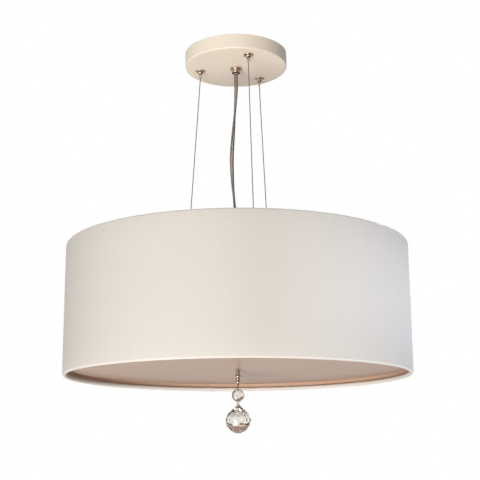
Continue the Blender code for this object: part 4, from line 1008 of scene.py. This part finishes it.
class PENDANT_OT_spider(Operator):
    """Top ring, three joggled arms and the hub plate that hold the drum open"""

    bl_idname = "pendant.spider"
    bl_label = "Spider"

    # Millimetres from the light's axis and from the ceiling
    ARM = (
        (16, -263), (150, -263), (188, -250.7), (198, -250.7), (198, -252.7), (188.6, -252.7),
        (150.3, -265), (16, -265),
    )
    HUB = ((5.3, -266.5), (34.6, -266.5), (35, -266.1), (35, -264), (5.3, -264))
    RIVETS = (22, 30)  # how far from the axis, on each arm
    # Millimetres above the arm's upper face
    RIVET = ((0, 0.9), (1.0, 0.75), (1.7, 0.35), (1.9, 0), (0, 0))

    def execute(self, context):
        zinc = zinc_plate()
        settle(wire_ring("top_wire", TOP_RING_HEIGHT), zinc, "shade_frame", "zinc", "spider_frame")
        width, cable_hole = 12 * MM, 0.9 * MM
        outline = in_mm(self.ARM)
        arm = drawn("spider_arm", outline + outline[:1])
        bpy.ops.mesh.remove_doubles(threshold=0.001 * MM)
        bpy.ops.mesh.edge_face_add()
        bpy.ops.mesh.extrude_region_move(TRANSFORM_OT_translate={"value": (0, width, 0)})
        weld(30)
        set_down(arm, shift(0, -width / 2, 0))
        rounded(arm, 0.3 * MM)
        carve(arm, [rod("cutter", cable_hole, CUT, 24, shift(STOP_CIRCLE, 0, ARM_HEIGHT))])
        pieces = in_places(arm, "spider_arm", [turn(a) for a in CABLE_TURNS])
        pieces.append(turned("spider_hub", in_mm(self.HUB), 96))
        rivet = turned("arm_rivet", in_mm(self.RIVET, ARM_HEIGHT), 24)
        places = [turn(a) @ shift(d * MM, 0, 0) for a in CABLE_TURNS for d in self.RIVETS]
        for piece in pieces + in_places(rivet, "arm_rivet", places):
            settle(piece, zinc, "shade_frame", "zinc")
        return {"FINISHED"}


class PENDANT_OT_cluster(Operator):
    """Threaded pipe, nuts, bush, cluster can, coupler and rod in the middle of the drum"""

    bl_idname = "pendant.cluster"
    bl_label = "Lamp cluster"

    # Millimetres from the bush's top
    BUSH = (
        (5.3, -10.9), (7.7, -10.9), (8, -10.6), (8, -2.1), (7.85, -1.3), (7.4, -0.6), (6.7, -0.15),
        (5.9, 0), (3.4, 0), (2.9, -0.2), (2.6, -0.6), (2.5, -1.0), (2.5, -3.7), (5.3, -3.7),
    )
    # Millimetres above the coupler's lower end
    COUPLER = (
        (0, 8.3), (5.3, 8.3), (5.3, 14.6), (6.6, 14.6), (7, 14.2), (7, 0.4), (6.6, 0), (3.3, 0),
        (3.3, 6.3), (0, 6.3),
    )

    def execute(self, context):
        zinc, coat = zinc_plate(), powder_coat(context.scene.pendant_finishes)
        low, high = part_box("hub_pipe")
        pipe = turned("threaded_pipe", self.thread(low.z, high.z), 32, smooth=60)
        settle(pipe, zinc, "shade_frame", "zinc", "hub_pipe")
        corner, bore = 8.8 * MM, 5.15 * MM
        for node in ("hub_upper_nut", "hub_lower_nut", "cluster_nut", "lid_nut"):
            settle(nut(node, f"{node}_hex", corner, bore), zinc, "shade_frame", "zinc", node)
        for node, name in (("cluster_body", "cluster_can"), ("cluster_lid", "cluster_cover")):
            settle(remade(node, name, 0.5 * MM), coat, "shade_frame", "powder_coat", node)
        bush = turned("cord_bushing", in_mm(self.BUSH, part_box("cord_bush")[1].z), 48)
        settle(bush, moulded_nylon(), "shade_frame", "white_plastic", "cord_bush")
        sleeve = turned("coupling_sleeve", in_mm(self.COUPLER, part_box("rod_coupler")[0].z), 48)
        settle(sleeve, zinc, "shade_frame", "zinc", "rod_coupler")
        low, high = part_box("finial_rod")
        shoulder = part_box("diffuser_pad")[1].z + GAP
        stem, stud, upper, lower = 3 * MM, 1.25 * MM, 0.3 * MM, 0.2 * MM  # radii, then chamfers
        outline = [(0, high.z), (stem - upper, high.z), (stem, high.z - upper), (stem, shoulder)]
        outline += [(stud, shoulder), (stud, low.z + lower), (stud - lower, low.z), (0, low.z)]
        settle(turned("finial_stem", outline, 32), zinc, "shade_frame", "zinc", "finial_rod")
        return {"FINISHED"}

    def thread(self, bottom, top):
        """A pipe's outline with a ridge for each turn of its thread."""
        crest, root, bore, pitch = 5 * MM, 4.6 * MM, 3.2 * MM, 0.95 * MM
        points = [(bore, bottom), (root, bottom)]
        for i in range(int((top - bottom) / pitch)):
            start = bottom + pitch * i
            points += [(crest, start + 0.4 * pitch), (crest, start + 0.6 * pitch), (root, start + pitch)]
        return points + [(root, top), (bore, top)]


class PENDANT_OT_lamps(Operator):
    """Three porcelain lampholders, and the opal lamps screwed into them"""

    bl_idname = "pendant.lamps"
    bl_label = "Lamps"

    # Millimetres from the lampholder's back along its own axis
    HOLDER = (
        (2, 0), (13.2, 0), (13.8, 0.25), (14, 0.8), (14, 5), (15.3, 5), (16, 5.3), (16.3, 6),
        (16.3, 34), (15.6, 34.8), (15.6, 36), (16.3, 36.8), (16.3, 43.2), (16.1, 43.8), (15.6, 44),
        (14, 44), (13.5, 43.8), (13.3, 43.3), (13.3, 6), (2, 6),
    )
    CAP_START = ((0, 6.3), (4, 6.3), (5, 6.8), (5.6, 7.6), (11.4, 9.2))
    CAP_END = ((13, 28.6), (13, 31.3), (12.6, 31.3), (11.6, 28.6), (11.4, 10.2), (0, 9.9))
    NECK = ((0, 31.6), (11.7, 31.6), (12.8, 31.6), (12.8, 42), (13.3, 46), (14.7, 50))

    def execute(self, context):
        cap = list(self.CAP_START)
        first_ridge, pitch, root, crest = 9.4, 3.6, 12.1, 12.9
        for i in range(5):
            start = first_ridge + pitch * i
            cap += [(root, start), (crest, start + 1.1), (crest, start + 1.9), (root, start + 3.0)]
        tip, globe = 111.3, 30
        bulb = list(self.NECK)
        bulb += [(max(r, 0), z) for z, r in arc(tip - globe, 0, globe, 130, 0, 20)]
        places = [outward(a, LAMP_CIRCLE, LAMP_HEIGHT) for a in LAMP_TURNS]
        for stem, outline, smooth, material, body, slot, node in (
            ("porcelain_holder", self.HOLDER, 35, porcelain(), "shade_frame", "porcelain", "lampholder"),
            ("screw_cap", (*cap, *self.CAP_END), 60, brass(), "lamp_base_{}", "brass", "lamp_cap"),
            ("opal_globe", bulb, 35, opal_glass(), "lamp_{}", "lamp_glass", "lamp_glass"),
        ):
            first = turned(stem, in_mm(outline), 64, smooth)
            settle_copies(first, stem, places, material, body, slot, node)
        return {"FINISHED"}


class PENDANT_OT_diffuser(Operator):
    """Frosted disc under the lamps, with its pad and washer"""

    bl_idname = "pendant.diffuser"
    bl_label = "Diffuser"

    def execute(self, context):
        low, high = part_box("diffuser")
        outer, bore, edge = high.x, 2 * MM, 0.5 * MM
        third = (outer - bore) / 3
        outline = (
            [(bore + third * i, low.z) for i in range(3)]
            + arc(outer - edge, low.z + edge, edge, -90, 0, 4)
            + arc(outer - edge, high.z - edge, edge, 0, 90, 4)
            + [(bore + third * i, high.z) for i in (2, 1, 0)]
        )
        disc = turned("frosted_disc", outline, 192)
        acrylic = frosted_acrylic(context.scene.pendant_finishes)
        settle(disc, acrylic, "diffuser_plate", "acrylic", "diffuser")
        for name, node in (("soft_pad", "diffuser_pad"), ("soft_washer", "finial_washer")):
            low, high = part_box(node)
            radius, middle, half, bore = high.x, (low.z + high.z) / 2, (high.z - low.z) / 2, 1.6 * MM
            outline = [(bore, low.z)] + arc(radius - half, middle, half, -90, 90, 8) + [(bore, high.z)]
            settle(turned(name, outline, 48), silicone(), "diffuser_plate", "silicone", node)
        return {"FINISHED"}


class PENDANT_OT_finial(Operator):
    """Turned nickel finial with its beads, waists and flat eye"""

    bl_idname = "pendant.finial"
    bl_label = "Finial"

    # Millimetres from the finial's top
    HEAD = ((0, -8.8), (1.55, -8.8), (1.55, 0), (1.95, 0), (2.2, -0.25), (2.2, -4.5), (1.95, -4.8))
    FOOT = ((2.0, -11.7), (2.2, -12.1), (2.2, -13.9), (2.0, -14.3), (1.4, -15.1), (0, -15.1))
    EYE = ((0, -0.7), (1.35, -0.7), (1.6, -0.45), (1.6, 0.45), (1.35, 0.7), (0, 0.7))
    # Depth of a bead's middle, its radius, half its height, and the radius that it starts from
    BEADS = ((6.8, 3.6, 1.7, 2.0), (10.6, 2.6, 0.8, 1.9))

    def execute(self, context):
        low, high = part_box("finial")
        eye_height, hole, through = low.z + 1.6 * MM, 1.0 * MM, 8 * MM
        beads = []
        for depth, swell, half, waist in self.BEADS:
            turns = [math.pi * step / 12 for step in range(13)]
            beads += [(waist + (swell - waist) * math.sin(a), half * math.cos(a) - depth) for a in turns]
        bar = turned("nickel_finial", in_mm((*self.HEAD, *beads, *self.FOOT), high.z), 48)
        eye = set_down(turned("cutter", in_mm(self.EYE), 32), crosswise(eye_height))
        carve(bar, [eye], "UNION")
        carve(bar, [rod("cutter", hole, through, 32, crosswise(eye_height))])
        settle(bar, polished_nickel(context.scene.pendant_finishes), "finial_knob", "nickel", "finial")
        return {"FINISHED"}


class PENDANT_OT_crystals(Operator):
    """Wire links, octagon bead and faceted ball"""

    bl_idname = "pendant.crystals"
    bl_label = "Crystals"

    # Millimetres, half the bead's section across its flats
    BEAD = ((0, 3.25), (3.6, 3.25), (5.6, 2.35), (7.0, 0.9))
    # Height and radius of each row of corners, as shares of the ball's radius
    BALL_SHARES = (
        (1.20, 0.053), (0.87, 0.373), (0.50, 0.773), (0.0, 1.0), (-0.43, 0.893), (-0.80, 0.587),
        (-1.0, 0.20),
    )

    def execute(self, context):
        finishes = context.scene.pendant_finishes
        plated, crystal = link_wire(), cut_crystal(finishes)
        wire = 0.4 * MM
        for name, node, body, half in (
            ("upper_wire_link", "finial_link", "upper_link", 3.2 * MM),
            ("lower_wire_link", "ball_link", "lower_link", 3.8 * MM),
        ):
            low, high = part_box(node)
            line = self.link(high.z - wire, low.z + wire, half)
            settle(laid(name, line, circle(wire, 10), loop=True), plated, body, "nickel", node)
        settle(self.bead(), crystal, "bead", "crystal", "crystal_bead")
        settle(self.ball(), crystal, "ball", "crystal", "crystal_ball")
        return {"FINISHED"}

    def link(self, top, bottom, half):
        """The centre line of a rounded wire link that stands across the strand's holes."""
        corner = 1.2 * MM
        line = []
        for across, height, start in (
            (half - corner, top - corner, 0),
            (corner - half, top - corner, 90),
            (corner - half, bottom + corner, 180),
            (half - corner, bottom + corner, 270),
        ):
            bend = arc(across, height, corner, start, start + 90, 8)
            line += [turn(STRAND_TURN) @ Vector((0, y, z)) for y, z in bend]
        return line

    def bead(self):
        """A thick octagon whose rim is cut back in two bevels to a smaller table on each face."""
        low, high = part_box("crystal_bead")
        centre, flat = (low.z + high.z) / 2, (high.z - low.z) / 2
        inset, hole, through = 1.9 * MM, 0.8 * MM, 12 * MM
        upper = [(r / math.cos(math.pi / 8), z) for r, z in self.BEAD]
        piece = turned("octagon_bead", in_mm([(r, -z) for r, z in upper] + upper[::-1]), 8, 1)
        set_down(piece, crosswise(centre) @ turn(math.pi / 8))
        heights = (centre + flat - inset, centre - flat + inset)
        carve(piece, [rod("cutter", hole, through, 24, crosswise(z)) for z in heights])
        bpy.ops.object.shade_smooth_by_angle(angle=math.radians(15))
        return piece

    def ball(self):
        """Rows of facets, each row turned half a step from the one above it."""
        radius, sides, hole, inset, through = 15 * MM, 12, 0.8 * MM, 2.2 * MM, 24 * MM
        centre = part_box("crystal_ball")[0].z + radius
        rows, half_step = self.BALL_SHARES, math.pi / sides
        top = centre + rows[0][0] * radius
        clear_choice()
        bpy.ops.mesh.primitive_circle_add(vertices=sides, radius=radius * rows[0][1], fill_type="NGON")
        piece = call_it(bpy.context.object, "faceted_ball")
        set_down(piece, shift(0, 0, top) @ turn(2 * half_step))
        bpy.ops.object.mode_set(mode="EDIT")
        bpy.ops.mesh.select_all(action="SELECT")
        for (upper, wide), (lower, narrow) in zip(rows, rows[1:]):
            drop = {"value": (0, 0, (lower - upper) * radius)}
            bpy.ops.mesh.extrude_region_move(TRANSFORM_OT_translate=drop)
            middle = (0, 0, centre + lower * radius)
            bpy.ops.transform.resize(value=(narrow / wide, narrow / wide, 1), center_override=middle)
            bpy.ops.transform.rotate(value=half_step, orient_axis="Z", center_override=middle)
        bpy.ops.mesh.select_all(action="SELECT")
        bpy.ops.mesh.quads_convert_to_tris(quad_method="SHORTEST_DIAGONAL", ngon_method="BEAUTY")
        weld(1)
        carve(piece, [rod("cutter", hole, through, 24, crosswise(top - inset))])
        bpy.ops.object.shade_smooth_by_angle(angle=math.radians(5))
        return piece


class PENDANT_OT_stage(Operator):
    """Floor, soft lights, dark cards and the camera at the photograph's angle"""

    bl_idname = "pendant.stage"
    bl_label = "Stage"

    # Place, aim and size of each light in metres, and its colour
    WINDOW = ((-0.78, -1.93, -1.71), (0, 0, -0.15), (1.2, 1.2), "#FFF9F1")
    STRIP = ((1.9, 0.17, -0.325), (0, 0, -0.325), (1.2, 0.14), "#EBF1FF")
    OVERHEAD = ((0, 0, 2.0), (0, 0, 0), (1.2, 1.2), "#FFFCF8")
    STRIP_SPREAD = math.radians(12)
    FLOOR_SIZE, FLOOR_GLOW = 14, 0.55
    CARD_DISTANCE, CARD_MIDDLE, CARD_HEIGHT = 2.7, -0.6, 3.2
    # The camera that the outlines in the photograph were fitted with, its angles in radians
    CAMERA_PLACE = (-0.03547, -1.19124, -0.51022)
    PITCH, YAW, ROLL = 0.2265, 0.0327, -0.0071

    def execute(self, context):
        stage = context.scene.pendant_stage
        self.room(context.scene, stage)
        clear_choice()
        bpy.ops.mesh.primitive_plane_add(size=self.FLOOR_SIZE, location=(0, 0, -stage.floor_depth))
        floor = call_it(bpy.context.object, "floor")
        material, tree, shader = begin("pale_floor", tint("#EDEBE8"), 0.8)
        glow = add_node(tree, "Emission", {"Color": (1, 1, 1, 1), "Strength": 1.0})
        share = add_node(tree, "Math", {0: self.seen(tree), 1: self.FLOOR_GLOW}, operation="MULTIPLY")
        parts = {0: share.outputs[0], 1: shader.outputs[0], 2: glow.outputs[0]}
        mixed = add_node(tree, "MixShader", parts)
        tree.links.new(mixed.outputs[0], tree.nodes["Material Output"].inputs["Surface"])
        floor.data.materials.append(material)
        self.card("dark_card_right", azimuth=95, width=3.4)
        self.card("dark_card_front_right", azimuth=38, width=2.9)
        self.lamp("window_light", stage.key_power, *self.WINDOW)
        strip = self.lamp("strip_light", stage.fill_power, *self.STRIP)
        strip.data.spread = self.STRIP_SPREAD
        above = self.lamp("overhead_light", stage.overhead_power, *self.OVERHEAD)
        strip.visible_glossy = above.visible_glossy = False
        self.camera(context.scene, stage)
        context.scene.view_settings.view_transform = "Standard"
        return {"FINISHED"}

    def seen(self, tree):
        """1 for what the camera, a mirror or clear glass sees, and 0 for the light on what is matt."""
        path = add_node(tree, "LightPath").outputs
        direct = path["Is Camera Ray"]
        for other in ("Is Glossy Ray", "Is Transmission Ray"):
            either = {0: direct, 1: path[other]}
            direct = add_node(tree, "Math", either, operation="MAXIMUM").outputs[0]
        return direct

    def room(self, scene, stage):
        """A white background, with a lower even light on what is matt."""
        world = scene.world or bpy.data.worlds.new("room")
        scene.world = world
        world.use_nodes = True
        tree = world.node_tree
        tree.nodes.clear()
        even = add_node(tree, "Background", {"Color": (1.0, 0.97, 0.94, 1), "Strength": stage.room_light})
        white = add_node(tree, "Background", {"Color": (1, 1, 1, 1), "Strength": 1.0})
        parts = {0: self.seen(tree), 1: even.outputs[0], 2: white.outputs[0]}
        add_node(tree, "OutputWorld", {"Surface": add_node(tree, "MixShader", parts).outputs[0]})

    def card(self, name, azimuth, width):
        """A dark card to the right that only metal and glass show, for the contrast in them."""
        side, away, middle = math.radians(azimuth), self.CARD_DISTANCE, self.CARD_MIDDLE
        place = Vector((away * math.sin(side), -away * math.cos(side), middle))
        clear_choice()
        bpy.ops.mesh.primitive_plane_add(size=1)
        card = call_it(bpy.context.object, name)
        facing = (Vector((0, 0, middle)) - place).to_track_quat("Z", "Y").to_matrix().to_4x4()
        set_down(card, shift(*place) @ facing @ Matrix.Diagonal((width, self.CARD_HEIGHT, 1, 1)))
        material, _, _ = begin("dark_felt", tint("#3B2F29"), 0.9)
        card.data.materials.append(material)
        card.visible_camera = card.visible_diffuse = card.visible_shadow = False

    def lamp(self, name, power, place, aim, size, code):
        """A soft rectangular light that points at a spot."""
        clear_choice()
        bpy.ops.object.light_add(type="AREA", location=place)
        lamp = bpy.context.object
        lamp.name = name
        lamp.data.shape = "RECTANGLE"
        lamp.data.size, lamp.data.size_y = size
        lamp.data.color = tint(code)
        lamp.data.energy = power
        lamp.rotation_euler = (Vector(aim) - Vector(place)).to_track_quat("-Z", "Y").to_euler()
        return lamp

    def camera(self, scene, stage):
        """Set the camera at the photograph's place, with its pitch, yaw and roll."""
        pitch, yaw, roll = self.PITCH, self.YAW, self.ROLL
        forward = Vector(
            (math.sin(yaw) * math.cos(pitch), math.cos(yaw) * math.cos(pitch), math.sin(pitch))
        )
        level = Vector((math.cos(yaw), -math.sin(yaw), 0))
        upright = level.cross(forward)
        right = math.cos(roll) * level + math.sin(roll) * upright
        up = math.cos(roll) * upright - math.sin(roll) * level
        clear_choice()
        bpy.ops.object.camera_add(location=self.CAMERA_PLACE)
        camera = bpy.context.object
        camera.name = "photo_camera"
        camera.data.lens = stage.focal_length
        camera.data.sensor_width = 36
        camera.rotation_euler = Matrix((right, up, -forward)).transposed().to_euler()
        scene.camera = camera


class PENDANT_PT_panel(Panel):
    """Sidebar list of the pendant's pieces and settings"""

    bl_idname = "PENDANT_PT_panel"
    bl_label = "Crystal Pendant Light"
    bl_space_type = "VIEW_3D"
    bl_region_type = "UI"
    bl_category = "Pendant"

    def draw(self, context):
        scene = context.scene
        for group in (scene.pendant_finishes, scene.pendant_sizes, scene.pendant_stage):
            column = self.layout.column(align=True)
            for name in group.__annotations__:
                column.prop(group, name)
        column = self.layout.column(align=True)
        for piece in PIECES:
            column.operator(piece.bl_idname)


PIECES = (
    PENDANT_OT_stage,
    PENDANT_OT_power_cord,
    PENDANT_OT_canopy,
    PENDANT_OT_ceiling_plate,
    PENDANT_OT_strain_relief,
    PENDANT_OT_grippers,
    PENDANT_OT_cables,
    PENDANT_OT_drum,
    PENDANT_OT_spider,
    PENDANT_OT_cluster,
    PENDANT_OT_lamps,
    PENDANT_OT_diffuser,
    PENDANT_OT_finial,
    PENDANT_OT_crystals,
)
GROUPS = {
    "pendant_finishes": PendantFinishes,
    "pendant_sizes": PendantSizes,
    "pendant_stage": PendantStage,
}


def register():
    for kind in (*GROUPS.values(), *PIECES, PENDANT_PT_panel):
        bpy.utils.register_class(kind)
    for name, kind in GROUPS.items():
        setattr(bpy.types.Scene, name, PointerProperty(type=kind))


def unregister():
    for name in GROUPS:
        delattr(bpy.types.Scene, name)
    for kind in reversed((*GROUPS.values(), *PIECES, PENDANT_PT_panel)):
        bpy.utils.unregister_class(kind)


def main():
    register()
    for piece in PIECES:
        area, action = piece.bl_idname.split(".")
        if getattr(getattr(bpy.ops, area), action)() != {"FINISHED"}:
            raise RuntimeError(f"{piece.bl_label} did not finish")
    clear_choice()


if __name__ == "__main__":
    main()
